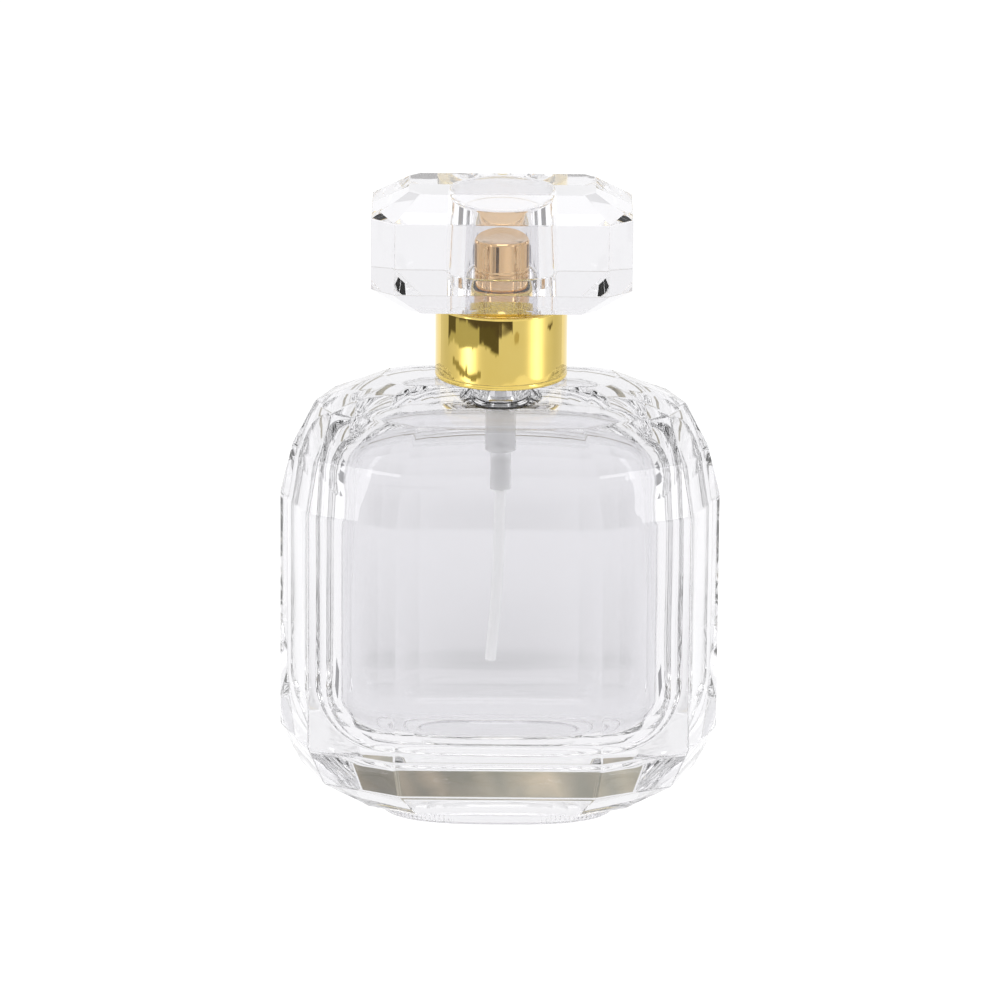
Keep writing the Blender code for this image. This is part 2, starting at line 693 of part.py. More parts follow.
def make_nozzle_insert(material):
    """A plug with a fine orifice and a flared mouth."""
    nozzle = add_object("nozzle_insert", bar_to_back(NOZZLE_RADIUS, NOZZLE_BACK, NOZZLE_FRONT), material)
    orifice = bar_to_back(NOZZLE_ORIFICE, NOZZLE_BACK - OVERCUT, NOZZLE_FRONT + OVERCUT)
    combine(nozzle, "DIFFERENCE", "nozzle_orifice", orifice)
    cup = bar_to_back(NOZZLE_CUP_RADIUS, NOZZLE_FRONT - NOZZLE_CUP_DEPTH, NOZZLE_FRONT + OVERCUT)
    combine(nozzle, "DIFFERENCE", "nozzle_cup", cup)
    return nozzle


def cap_bore():
    """The mouth for the insert, a step, and a tapered bore with a rounded ceiling."""
    profile = [(0.0, CAP_BORE_TOP)]
    for i in range(4):
        angle = math.radians(90.0 * i / 3.0)
        radius = CAP_BORE_TOP_RADIUS - CAP_BORE_ROUNDING * (1.0 - math.sin(angle))
        profile.append((radius, CAP_BORE_TOP - CAP_BORE_ROUNDING * (1.0 - math.cos(angle))))
    profile += [
        (CAP_BORE_RADIUS, MOUTH_TOP),
        (MOUTH_RADIUS, MOUTH_TOP),
        (MOUTH_RADIUS, CAP_BOTTOM - OVERCUT),
        (0.0, CAP_BOTTOM - OVERCUT),
    ]
    return turn(profile, STEPS_OUTSIDE)


def make_cap_block(material):
    azimuths = (0.0, CAP_CORNER_AZIMUTH, math.pi / 2.0)
    block = add_object("cap_block", faceted_block(CAP_LEVELS, azimuths), material)
    combine(block, "DIFFERENCE", "cap_bore", cap_bore())
    return block


def make_cap_insert(material):
    profile = [
        (INSERT_INNER, INSERT_TOP),
        (INSERT_RADIUS, INSERT_TOP),
        (INSERT_RADIUS, INSERT_BOTTOM),
        (INSERT_INNER + INSERT_LIP, INSERT_BOTTOM),
        (INSERT_INNER, INSERT_BOTTOM + INSERT_LIP),
    ]
    return add_object("cap_insert", turn(profile, STEPS_OUTSIDE), material)


def main():
    clear_scene()
    glass = make_material("flint_glass", (0.93, 0.93, 0.96), 0.02, transmission=1.0)
    acrylic = make_material("clear_acrylic", (0.95, 0.95, 0.97), 0.03, transmission=1.0)
    clear_plastic = make_material("clear_insert", (0.93, 0.93, 0.95), 0.08, transmission=1.0)
    gold = make_material("gold_anodised", (0.83, 0.62, 0.10), 0.16, metallic=1.0)
    rose_gold = make_material("rose_gold_anodised", (0.80, 0.56, 0.32), 0.18, metallic=1.0)
    aluminium = make_material("bare_aluminium", (0.80, 0.80, 0.81), 0.30, metallic=1.0)
    steel = make_material("spring_steel", (0.62, 0.62, 0.64), 0.28, metallic=1.0)
    pump_plastic = make_material("natural_polypropylene", (0.80, 0.80, 0.81), 0.35)
    tube_plastic = make_material("clear_polyethylene", (0.88, 0.88, 0.89), 0.30)
    white_plastic = make_material("white_polypropylene", (0.86, 0.85, 0.82), 0.40)
    rubber = make_material("seal_rubber", (0.12, 0.12, 0.12), 0.70)

    make_glass_bottle(glass)
    make_neck_gasket(rubber)
    make_crimp_ferrule(aluminium)
    make_pump_housing(pump_plastic)
    make_pump_turret(white_plastic)
    make_stem_seal(rubber)
    make_check_ball(steel)
    make_return_spring(steel)
    make_dip_tube(tube_plastic)

    collar_pivot = add_pivot("collar_pivot", COLLAR_BOTTOM)
    hang(collar_pivot, make_collar(gold), make_collar_liner(white_plastic))
    cap_slide = add_pivot("cap_slide", CAP_BOTTOM)
    hang(cap_slide, make_cap_block(acrylic), make_cap_insert(clear_plastic))
    stem_slide = add_pivot("stem_slide", STEM_BOTTOM)
    hang(stem_slide, make_pump_stem(white_plastic), make_piston(white_plastic))
    button_pivot = add_pivot("button_pivot", BUTTON_BOTTOM)
    shell = make_actuator_shell(rose_gold)
    core = make_actuator_core(white_plastic)
    hang(button_pivot, shell, core, make_nozzle_insert(white_plastic))


main()
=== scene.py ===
"""Looks of the perfume bottle, in metres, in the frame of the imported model.

The clear glass, the clear cap and the gold pieces are rebuilt finer than their CAD nodes, with
rounded edges, and every other node keeps its shape and gets a finish.
"""

import math

import bmesh
import bpy
from mathutils import Matrix, Vector, noise


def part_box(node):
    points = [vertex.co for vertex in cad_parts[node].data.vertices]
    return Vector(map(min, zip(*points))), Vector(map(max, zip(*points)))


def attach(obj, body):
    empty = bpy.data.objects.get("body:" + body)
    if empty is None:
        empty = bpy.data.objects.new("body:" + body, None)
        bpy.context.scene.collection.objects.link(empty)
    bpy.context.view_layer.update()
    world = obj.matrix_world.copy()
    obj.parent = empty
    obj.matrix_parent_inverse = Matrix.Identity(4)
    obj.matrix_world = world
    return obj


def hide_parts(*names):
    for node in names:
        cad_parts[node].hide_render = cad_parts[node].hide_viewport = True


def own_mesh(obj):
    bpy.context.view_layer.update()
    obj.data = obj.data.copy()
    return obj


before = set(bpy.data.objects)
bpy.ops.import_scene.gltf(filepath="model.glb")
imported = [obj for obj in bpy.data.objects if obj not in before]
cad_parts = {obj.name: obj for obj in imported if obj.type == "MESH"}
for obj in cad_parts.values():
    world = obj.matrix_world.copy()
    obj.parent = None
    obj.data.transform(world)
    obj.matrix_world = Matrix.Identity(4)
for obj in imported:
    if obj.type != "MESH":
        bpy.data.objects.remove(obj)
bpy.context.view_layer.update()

# Camera: in front and above, looking down at the middle of the bottle.
CAMERA_DISTANCE = 1.2
CAMERA_PITCH = math.radians(16.2)
CAMERA_ROLL = math.radians(0.45)
CAMERA_TARGET = Vector((0.0, 0.0, 0.0507))
VIEW_WIDTH = 0.159
SENSOR_WIDTH = 36.0
CLIP_START = 0.05
CLIP_END = 20.0

# How often a ray of light may bend or bounce on its way through the glass.
MAX_BOUNCES = 32
GLOSSY_BOUNCES = 12

# Floor, sky and soft lights.
FLOOR_RADIUS = 6.0
FLOOR_STEPS = 96
FLOOR_COLOUR = (0.95, 0.95, 0.95)
FLOOR_ROUGHNESS = 0.9
SKY_STRENGTH = 1.06
LIGHT_AIM = Vector((0.0, 0.0, 0.05))

# Glowing cards round the bottle, painted with reflections and shade, which the camera sees only through
# the clear pieces and in the gold, in metres and degrees. The first is a painted reflection of the room:
# a strip behind the bottle with an uneven lower edge, olive with warm painted glints.
ROOM_DISTANCE = 0.3
ROOM_BOTTOM = 0.0922
ROOM_TOP = 0.1208
ROOM_SPREAD = 35.0
ROOM_ROWS = 12
ROOM_COLUMNS = 113
# Painted reflection colours: a dim olive room, with warm painted glints.
ROOM_OLIVE = (0.32, 0.31, 0.25)
ROOM_WARM = (0.55, 0.40, 0.26)
ROOM_CLOUDS = 0.7
ROOM_WARMTH = 1.2
ROOM_EDGE_SLOW = 0.0045
ROOM_EDGE_QUICK = 0.0022

# The shade of the base lies on the table behind it: two soft spots, each with its depth, its
# distance behind the bottle's axis, and its size along Y and X.
SHADE_NEAR = 0.015
SHADE_FAR = 0.285
SHADE_HALF_WIDTH = 0.09
SHADE_STEPS = 121
SHADE_HEIGHT = 0.0025
SHADE_WHITE = 1.18
SHADE_DEEP = (0.16, 0.056, (0.016, 0.022))
SHADE_WIDE = (0.13, 0.075, (0.045, 0.040))
SHADE_RIPPLE = 0.6

# The fan lies on the table in front and at the sides and glows with painted reflections for the gold:
# its bells are painted highlights with faint painted shade further round, and its bands, patch and spots
# are painted dark and pale reflections.
# Its shapes are placed by radius and by azimuth from the front. A bell is (strength, azimuth, width),
# and a spot is (azimuth, radius, half azimuth, half radius). Its edges wave, and a turn is in degrees
# for each metre of wave.
TABLE_NEAR = 0.262
TABLE_FAR = 0.50
TABLE_SPREAD = 130.0
TABLE_ROWS = 96
TABLE_COLUMNS = 261
TABLE_HEIGHT = 0.003
TABLE_EDGE_SLOW = 0.005
TABLE_EDGE_QUICK = 0.0025
TABLE_TURN_SLOW = 3000.0
TABLE_TURN_QUICK = 2000.0
TABLE_WHITE = 0.88
# Painted highlights at both sides, and faint painted shade further round.
FAN_HIGHLIGHT_AND_SHADE_BELLS = [(2.2, -58.0, 13.0), (1.5, 64.0, 13.0), (-0.1, -108.0, 14.0), (-0.1, 108.0, 14.0)]
# Painted dark and pale reflections: a dark band, a pale patch with a dark outline, an olive band, a warm
# and a dark spot.
DARK_BAND_NEAR = 0.3095
DARK_BAND_AZIMUTHS = (-92.0, 18.0)
DARK_BAND_COLOUR = (0.10, 0.085, 0.08)
PATCH_NEAR = 0.2890
PATCH_AZIMUTHS = (-105.0, -4.0)
PATCH_COLOUR = (0.55, 0.55, 0.45)
PATCH_OUTLINE_NEAR = 0.2925
PATCH_OUTLINE_COLOUR = (0.13, 0.12, 0.09)
PATCH_RIGHT_PART = -36.0
PATCH_LEFT_PART = -86.0
PATCH_LEFT_NEAR = 0.2960
OLIVE_BAND_RADII = (0.2680, 0.2745)
OLIVE_BAND_AZIMUTHS = (-92.0, -34.0)
OLIVE_BAND_COLOUR = (0.42, 0.40, 0.28)
WARM_SPOT = (26.0, 0.303, 5.0, 0.005)
WARM_SPOT_COLOUR = (0.60, 0.55, 0.40)
DARK_SPOT = (93.0, 0.3065, 7.0, 0.002)
DARK_SPOT_COLOUR = (0.16, 0.14, 0.10)

# The far part of the fan, which the button mirrors, painted with highlights, shade and a dark stripe.
FAR_TABLE_NEAR = 0.325
FAR_TABLE_REACH = 101.0
FAR_TABLE_BEYOND = (0.34, 0.34, 0.37)
FAR_TABLE_STRIPE = (-29.0, -14.0)
FAR_TABLE_STRIPE_COLOUR = (0.12, 0.10, 0.09)
# Painted highlights, and a painted dark dip left of the middle.
FAR_FAN_HIGHLIGHT_AND_SHADE_BELLS = [(0.32, 28.0, 22.0), (0.25, -64.0, 5.0), (-0.45, -40.0, 9.0)]

# Smoothness of round pieces.
STEPS_LARGE = 160
STEPS_SMALL = 96
ARC_STEPS = 4
SHARP_ANGLE = math.radians(38)
FACE_WEIGHT = 100
EDGE_SEGMENTS = 3
PLANE_TOLERANCE = 1e-8
WELD_DISTANCE = 1e-7

# The most of an outline's side that a round corner takes.
CORNER_SHARE = 0.49

# A faceted block is cut from a cube this many times as wide as its widest facet's reach.
CUBE_SHARE = 4.0

# Roundings of turned and moulded edges.
EDGE_CRISP = 0.0001
EDGE_SOFT = 0.0002
EDGE_ROUND = 0.0003

# Glass body: facet azimuths, then height and how far the front, corner and side facets reach.
CORNER_AZIMUTH = math.radians(28.0)
SIDE_AZIMUTH = math.radians(70.9)
BODY_LEVELS = [
    (0.0018, (0.0121, 0.0166, 0.0219)),
    (0.0066, (0.0175, 0.0228, 0.0298)),
    (0.0133, (0.02115, 0.0264, 0.03307)),
    (0.0520, (0.02115, 0.0264, 0.03307)),
    (0.0600, (0.01915, 0.0241, 0.0312)),
    (0.0670, (0.0153, 0.0196, 0.0278)),
    (0.0712, (0.0060, 0.0121, 0.0180)),
]
BODY_EDGE = 0.0006
FOOT_HALF_WIDTH = 0.0189
FOOT_HALF_DEPTH = 0.0119
FOOT_SQUARENESS = 2.8
FOOT_ROUNDING = 0.0010
FOOT_TOP = 0.0030
FOOT_STEPS = 8
NECK_RADIUS = 0.00675
NECK_ROOT = 0.0690
BEAD_RADIUS = 0.0075
BEAD_BOTTOM = 0.0733
BEAD_TOP_ROUNDING = 0.0008
BEAD_BOTTOM_ROUNDING = 0.0007
BORE_RADIUS = 0.0048
GLASS_STEPS = 192

# Hollow of the glass body.
CAVITY_HALF_WIDTH = 0.0268
CAVITY_HALF_DEPTH = 0.0170
CAVITY_SQUARENESS = 3.0
CAVITY_FLOOR = 0.0120
CAVITY_FLOOR_ROUNDING = 0.0095
CAVITY_WALL_TOP = 0.0540
CAVITY_DOME_TOP = 0.0674
CAVITY_DOME_FULLNESS = 2.5
CAVITY_FLOOR_RINGS = 20
CAVITY_WALL_RINGS = 12
CAVITY_DOME_RINGS = 44
CAVITY_WAVE = 0.00006
CAVITY_WAVE_SIZE = 0.009
STEADY_REACH = 1.2 * BORE_RADIUS

# Punt under the base, with a rippled wall.
PUNT_HALF_LENGTH = 0.0152
PUNT_HALF_WIDTH = 0.0085
PUNT_DEPTH = 0.0016
PUNT_SLOPE = 0.0010
PUNT_SLOPE_RINGS = 5
PUNT_RIM = 0.0004
PUNT_RIM_HEIGHT = 0.0003
PUNT_RIPPLE = 0.00012
PUNT_RIPPLES = 72
PUNT_STEPS = 432

# Cap, with its levels given as the glass body's are.
CAP_CORNER_AZIMUTH = math.radians(45.0)
CAP_LEVELS = [
    (0.0836, (0.0091, 0.0153, 0.0149)),
    (0.0874, (0.01235, 0.02065, 0.0205)),
    (0.0988, (0.01235, 0.02065, 0.0205)),
    (0.1024, (0.0070, 0.0141, 0.0146)),
]
CAP_EDGE = 0.00022
MOUTH_RADIUS = 0.0087
MOUTH_TOP = 0.0894
CAP_BORE_RADIUS = 0.0089
CAP_BORE_TOP_RADIUS = 0.0084
CAP_BORE_TOP = 0.0994
CAP_BORE_ROUNDING = 0.0007
MOUTH_CHAMFER = 0.0002

# Clear ring in the cap's mouth, with a grip ridge inside.
INSERT_WALL = 0.0006
RIDGE_START = 0.0012
RIDGE_PEAK = 0.0015
RIDGE_END = 0.0018
RIDGE_DEPTH = 0.00012

# Collar, with a groove above its rolled lower edge.
BOSS_RADIUS = 0.0075
COLLAR_OPENING = 0.0069
COLLAR_WALL = 0.0005
COLLAR_ROLL = 0.00022
GROOVE_TOP = 0.0009
GROOVE_MIDDLE = 0.0007
GROOVE_BOTTOM = 0.0005
GROOVE_DEPTH = 0.00012

# Button: a gold sleeve with a dished top, and the nozzle's cup and spray hole.
BUTTON_WALL = 0.00035
BUTTON_FOOT_ROUNDING = 0.00015
BUTTON_TOP_THICKNESS = 0.0012
BUTTON_RIM = 0.0003
DISH_DEPTH = 0.0005
DISH_CORNERS = [(0.0035, 0.0004, 0.0010), (0.0055, 0.0001, 0.0006)]
NOZZLE_CUT_START = 0.0042
NOZZLE_CUP_RADIUS = 0.00125
NOZZLE_CUP_DEPTH = 0.0007
NOZZLE_FLOOR_RADIUS = 0.0009
NOZZLE_FLOOR_DEPTH = 0.0006
NOZZLE_HOLE_RADIUS = 0.00025
NOZZLE_ROUNDING = 0.00008

# Pump body: radii and heights, outside from the flange down and inside from the inlet up.
PUMP_MOUTH_RADIUS = 0.0036
PUMP_FLANGE_THICKNESS = 0.0005
PUMP_NECK_RADIUS = 0.0044
PUMP_NECK_BOTTOM = 0.0735
CHAMBER_RADIUS = 0.0025
CHAMBER_TOP = 0.0732
CHAMBER_BOTTOM = 0.0597
STEP_RADIUS = 0.0018
STEP_BOTTOM = 0.0590
NIPPLE_RADIUS = 0.00165
NIPPLE_RIDGE_RADIUS = 0.0017
NIPPLE_RIDGE_HEIGHTS = (0.0568, 0.0566, 0.0564)
INLET_RADIUS = 0.0012
INLET_TOP = 0.0574
SEAT_HOLE_RADIUS = 0.0007
SEAT_BOTTOM = 0.0593
SEAT_RADIUS = 0.0014
CHAMBER_FLOOR = 0.0600
CHAMBER_BORE_RADIUS = 0.0020
PUMP_LEDGE = 0.0755

# Dip tube, whose lower end leans to one side and back.
TUBE_RADIUS = 0.0009
TUBE_BORE_RADIUS = 0.0005
TUBE_END_X = -0.0014
TUBE_END_Y = 0.0012
TUBE_RINGS = 60
TUBE_STEPS = 32

# Return spring.
WIRE_RADIUS = 0.0002
WIRE_STEPS = 10
COIL_RADIUS = 0.00135
COIL_TURNS = 7.0
COIL_STEPS = 36
DEAD_PITCH = 2.1 * WIRE_RADIUS

# Grain that is as fine along every axis.
EVEN_GRAIN = (1.0, 1.0, 1.0)

# How far a cutting shape reaches past a surface, and the gap between touching pieces.
OVERCUT = 0.001
GAP = 0.0003


# ---------------------------------------------------------------- shapes

def mesh_object(name, shape):
    """Turns a bmesh into an object with outward faces."""
    bmesh.ops.recalc_face_normals(shape, faces=shape.faces)
    mesh = bpy.data.meshes.new(name)
    shape.to_mesh(mesh)
    shape.free()
    made = bpy.data.objects.new(name, mesh)
    bpy.context.scene.collection.objects.link(made)
    return made


def settle(obj):
    """Replaces an object's mesh with what its modifiers make of it."""
    graph = bpy.context.evaluated_depsgraph_get()
    mesh = bpy.data.meshes.new_from_object(obj.evaluated_get(graph))
    obj.modifiers.clear()
    obj.data = mesh


def combine(target, operation, shape):
    """Cuts or joins a shape to an object."""
    helper = mesh_object(target.name + "_tool", shape)
    boolean = target.modifiers.new("boolean", "BOOLEAN")
    boolean.operation = operation
    boolean.solver = "EXACT"
    boolean.object = helper
    settle(target)
    bpy.data.objects.remove(helper)


def smooth(obj, weighted=False):
    """Shades an object smooth between its sharp edges. Weighted normals keep large faces flat."""
    obj.data.shade_smooth()
    obj.data.set_sharp_from_angle(angle=SHARP_ANGLE)
    if weighted:
        normals = obj.modifiers.new("flat_facets", "WEIGHTED_NORMAL")
        normals.weight = FACE_WEIGHT
        normals.keep_sharp = True
        settle(obj)


def cut_flat(shape, point, normal):
    """Cuts a block along a plane and closes the cut with one flat face."""
    everything = shape.verts[:] + shape.edges[:] + shape.faces[:]
    cut = bmesh.ops.bisect_plane(
        shape, geom=everything, dist=PLANE_TOLERANCE, plane_co=point, plane_no=normal,
        clear_outer=True,
    )
    rim = [item for item in cut["geom_cut"] if isinstance(item, bmesh.types.BMEdge)]
    bmesh.ops.contextual_create(shape, geom=rim)


def facet_turns(azimuth):
    """The azimuths of one kind of facet, mirrored left and right, front and back."""
    if azimuth == 0.0:
        return [0.0, math.pi]
    if math.isclose(azimuth, math.pi / 2.0):
        return [-azimuth, azimuth]
    return [azimuth - math.pi, -azimuth, azimuth, math.pi - azimuth]


def faceted_block(levels, azimuths, edge):
    """A block whose facets run from level to level, with its edges rounded."""
    shape = bmesh.new()
    width = CUBE_SHARE * max(max(reaches) for _, reaches in levels)
    bmesh.ops.create_cube(shape, size=width)
    bottom, top = levels[0][0], levels[-1][0]
    bmesh.ops.translate(shape, verts=shape.verts, vec=(0.0, 0.0, (bottom + top) / 2.0))
    cut_flat(shape, (0.0, 0.0, bottom), (0.0, 0.0, -1.0))
    cut_flat(shape, (0.0, 0.0, top), (0.0, 0.0, 1.0))
    for (low, low_reaches), (high, high_reaches) in zip(levels, levels[1:]):
        for azimuth, low_reach, high_reach in zip(azimuths, low_reaches, high_reaches):
            for turned in facet_turns(azimuth):
                outward = Vector((math.sin(turned), -math.cos(turned), 0.0))
                normal = outward * (high - low) + Vector((0.0, 0.0, low_reach - high_reach))
                cut_flat(shape, outward * low_reach + Vector((0.0, 0.0, low)), normal)
    bmesh.ops.bevel(
        shape, geom=shape.edges[:], offset=edge, offset_type="WIDTH",
        segments=EDGE_SEGMENTS, profile=0.5, affect="EDGES", clamp_overlap=True,
    )
    return shape


def loft(rings, joined=False):
    """A solid through rings with as many points each, with two ends or joined into a loop."""
    shape = bmesh.new()
    levels = [[shape.verts.new(point) for point in ring] for ring in rings]
    following = levels[1:] + levels[:1] if joined else levels[1:]
    for lower, upper in zip(levels, following):
        for i, corner in enumerate(lower):
            shape.faces.new((corner, lower[i - 1], upper[i - 1], upper[i]))
    if not joined:
        shape.faces.new(levels[0])
        shape.faces.new(levels[-1])
    return shape


def quarter_turn(steps):
    """Angles from 0 to 90 degrees, both included."""
    return [math.radians(90.0 * i / steps) for i in range(steps + 1)]


def oval(half_width, half_depth, squareness, height):
    """A superellipse: squareness 2 is an ellipse, and a larger one has fuller corners."""
    points = []
    for k in range(GLASS_STEPS):
        angle = 2.0 * math.pi * (k + 0.5) / GLASS_STEPS
        along, across = math.cos(angle), math.sin(angle)
        x = math.copysign(abs(along) ** (2.0 / squareness), along)
        y = math.copysign(abs(across) ** (2.0 / squareness), across)
        points.append((half_width * x, half_depth * y, height))
    return points


def rounded(corners):
    """A profile with round corners, from (radius, height, rounding) corners."""
    points = []
    for i, (radius, height, rounding) in enumerate(corners):
        here = Vector((radius, height))
        before = Vector(corners[i - 1][:2]) - here
        after = Vector(corners[(i + 1) % len(corners)][:2]) - here
        if rounding == 0.0:
            points.append(tuple(here))
            continue
        half = before.angle(after) / 2.0
        shorter = min(before.length, after.length)
        back = min(rounding / math.tan(half), CORNER_SHARE * shorter)
        start, end = here + before.normalized() * back, here + after.normalized() * back
        for k in range(ARC_STEPS + 1):
            t = k / ARC_STEPS
            curve = (1.0 - t) ** 2 * start + 2.0 * t * (1.0 - t) * here + t**2 * end
            points.append(tuple(curve))
    return points


def turn(profile, steps):
    """A body of revolution. A profile with both ends on the axis makes a solid, others a ring."""
    shape = bmesh.new()
    points = [shape.verts.new((radius, 0.0, height)) for radius, height in profile]
    edges = [shape.edges.new(pair) for pair in zip(points, points[1:])]
    if profile[0][0] > 0.0:
        edges.append(shape.edges.new((points[-1], points[0])))
    bmesh.ops.spin(
        shape, geom=points + edges, axis=(0.0, 0.0, 1.0), cent=(0.0, 0.0, 0.0),
        angle=2.0 * math.pi, steps=steps, use_merge=True,
    )
    bmesh.ops.remove_doubles(shape, verts=shape.verts, dist=WELD_DISTANCE)
    return shape


# ---------------------------------------------------------------- glass body

def foot():
    """The smooth rounded foot under the facets."""
    rings = []
    for angle in quarter_turn(FOOT_STEPS):
        inset = FOOT_ROUNDING * (1.0 - math.sin(angle))
        height = FOOT_ROUNDING * (1.0 - math.cos(angle))
        rings.append(oval(FOOT_HALF_WIDTH - inset, FOOT_HALF_DEPTH - inset, FOOT_SQUARENESS, height))
    rings.append(oval(FOOT_HALF_WIDTH, FOOT_HALF_DEPTH, FOOT_SQUARENESS, FOOT_TOP))
    return loft(rings)


def neck(lip_top):
    """The neck with its crimp bead."""
    profile = rounded(
        [
            (0.0, lip_top, 0.0),
            (BEAD_RADIUS, lip_top, BEAD_TOP_ROUNDING),
            (BEAD_RADIUS, BEAD_BOTTOM, BEAD_BOTTOM_ROUNDING),
            (NECK_RADIUS, BEAD_BOTTOM, EDGE_SOFT),
            (NECK_RADIUS, NECK_ROOT, 0.0),
            (0.0, NECK_ROOT, 0.0),
        ]
    )
    return turn(profile, STEPS_LARGE)


def cavity(lip_top):
    """The hollow, slightly uneven as blown glass is, with the neck bore on top of it."""
    rings = []
    for angle in quarter_turn(CAVITY_FLOOR_RINGS):
        inset = CAVITY_FLOOR_ROUNDING * (1.0 - math.sin(angle))
        height = CAVITY_FLOOR + CAVITY_FLOOR_ROUNDING * (1.0 - math.cos(angle))
        width, depth = CAVITY_HALF_WIDTH - inset, CAVITY_HALF_DEPTH - inset
        rings.append(oval(width, depth, CAVITY_SQUARENESS, height))
    wall_bottom = CAVITY_FLOOR + CAVITY_FLOOR_ROUNDING
    for i in range(1, CAVITY_WALL_RINGS):
        height = wall_bottom + (CAVITY_WALL_TOP - wall_bottom) * i / CAVITY_WALL_RINGS
        rings.append(oval(CAVITY_HALF_WIDTH, CAVITY_HALF_DEPTH, CAVITY_SQUARENESS, height))
    for angle in quarter_turn(CAVITY_DOME_RINGS):
        spread = max(math.cos(angle), 0.0) ** (2.0 / CAVITY_DOME_FULLNESS)
        rise = math.sin(angle) ** (2.0 / CAVITY_DOME_FULLNESS)
        width = BORE_RADIUS + (CAVITY_HALF_WIDTH - BORE_RADIUS) * spread
        depth = BORE_RADIUS + (CAVITY_HALF_DEPTH - BORE_RADIUS) * spread
        squareness = 2.0 + (CAVITY_SQUARENESS - 2.0) * spread
        height = CAVITY_WALL_TOP + (CAVITY_DOME_TOP - CAVITY_WALL_TOP) * rise
        rings.append(oval(width, depth, squareness, height))
    waved = [[wave(point) for point in ring] for ring in rings]
    waved.append(oval(BORE_RADIUS, BORE_RADIUS, 2.0, lip_top + OVERCUT))
    return loft(waved)


def wave(point):
    """Moves a point of the hollow a little in or out, and not at all at the neck bore."""
    place = Vector(point)
    away = place.xy.length
    if away < STEADY_REACH and point[2] > CAVITY_WALL_TOP:
        return point
    height = noise.noise(place / CAVITY_WAVE_SIZE)
    share = CAVITY_WAVE * height / max(away, BORE_RADIUS)
    return (point[0] * (1.0 + share), point[1] * (1.0 + share), point[2])


def pill(half_length, half_width, height, ripple):
    """A straight-sided outline with round ends and a rippled edge."""
    points = []
    for k in range(PUNT_STEPS):
        angle = 2.0 * math.pi * (k + 0.5) / PUNT_STEPS
        middle = math.copysign(half_length - half_width, math.cos(angle))
        radius = half_width + ripple * math.cos(PUNT_RIPPLES * angle)
        points.append((middle + radius * math.cos(angle), radius * math.sin(angle), height))
    return points


def punt():
    """The recess under the base, with a flared rim and a rounded roof."""
    slope_foot = PUNT_DEPTH - PUNT_SLOPE
    rings = [
        pill(PUNT_HALF_LENGTH + PUNT_RIM, PUNT_HALF_WIDTH + PUNT_RIM, -OVERCUT, 0.0),
        pill(PUNT_HALF_LENGTH + PUNT_RIM, PUNT_HALF_WIDTH + PUNT_RIM, 0.0, PUNT_RIPPLE),
        pill(PUNT_HALF_LENGTH, PUNT_HALF_WIDTH, PUNT_RIM_HEIGHT, PUNT_RIPPLE),
        pill(PUNT_HALF_LENGTH, PUNT_HALF_WIDTH, slope_foot, PUNT_RIPPLE),
    ]
    for i, angle in enumerate(quarter_turn(PUNT_SLOPE_RINGS)[1:], 1):
        inset = PUNT_SLOPE * (1.0 - math.cos(angle))
        height = slope_foot + PUNT_SLOPE * math.sin(angle)
        ripple = PUNT_RIPPLE * (1.0 - i / PUNT_SLOPE_RINGS)
        rings.append(pill(PUNT_HALF_LENGTH - inset, PUNT_HALF_WIDTH - inset, height, ripple))
    return loft(rings)


def make_body_glass():
    """The bottle: facets, foot and neck in one piece of glass, with the hollow and the punt cut out."""
    lip_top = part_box("glass_bottle")[1].z
    azimuths = (0.0, CORNER_AZIMUTH, SIDE_AZIMUTH)
    glass = mesh_object("body_glass", faceted_block(BODY_LEVELS, azimuths, BODY_EDGE))
    combine(glass, "UNION", foot())
    combine(glass, "UNION", neck(lip_top))
    combine(glass, "DIFFERENCE", cavity(lip_top))
    combine(glass, "DIFFERENCE", punt())
    smooth(glass, weighted=True)
    return glass


# ---------------------------------------------------------------- cap

def cap_bore():
    """The cap's bore, a little narrower at its mouth, where the insert sits."""
    profile = rounded(
        [
            (0.0, CAP_BORE_TOP, 0.0),
            (CAP_BORE_TOP_RADIUS, CAP_BORE_TOP, CAP_BORE_ROUNDING),
            (CAP_BORE_RADIUS, MOUTH_TOP, EDGE_CRISP),
            (MOUTH_RADIUS, MOUTH_TOP - MOUTH_CHAMFER, EDGE_CRISP),
            (MOUTH_RADIUS, CAP_LEVELS[0][0] - OVERCUT, 0.0),
            (0.0, CAP_LEVELS[0][0] - OVERCUT, 0.0),
        ]
    )
    return turn(profile, STEPS_LARGE)


def make_cap_crystal():
    """The cap's block with its bore."""
    azimuths = (0.0, CAP_CORNER_AZIMUTH, math.pi / 2.0)
    block = mesh_object("cap_crystal", faceted_block(CAP_LEVELS, azimuths, CAP_EDGE))
    combine(block, "DIFFERENCE", cap_bore())
    smooth(block, weighted=True)
    return block


def make_cap_sleeve():
    """The clear ring that grips the collar's boss."""
    low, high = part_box("cap_insert")
    outer = high.x
    inner = outer - INSERT_WALL
    profile = rounded(
        [
            (inner, high.z, EDGE_SOFT),
            (outer, high.z, EDGE_SOFT),
            (outer, low.z, EDGE_SOFT),
            (inner, low.z, EDGE_ROUND),
            (inner, low.z + RIDGE_START, EDGE_SOFT),
            (inner - RIDGE_DEPTH, low.z + RIDGE_PEAK, EDGE_CRISP),
            (inner, low.z + RIDGE_END, EDGE_SOFT),
        ]
    )
    sleeve = mesh_object("cap_sleeve", turn(profile, STEPS_LARGE))
    smooth(sleeve)
    return sleeve


# ---------------------------------------------------------------- collar and button

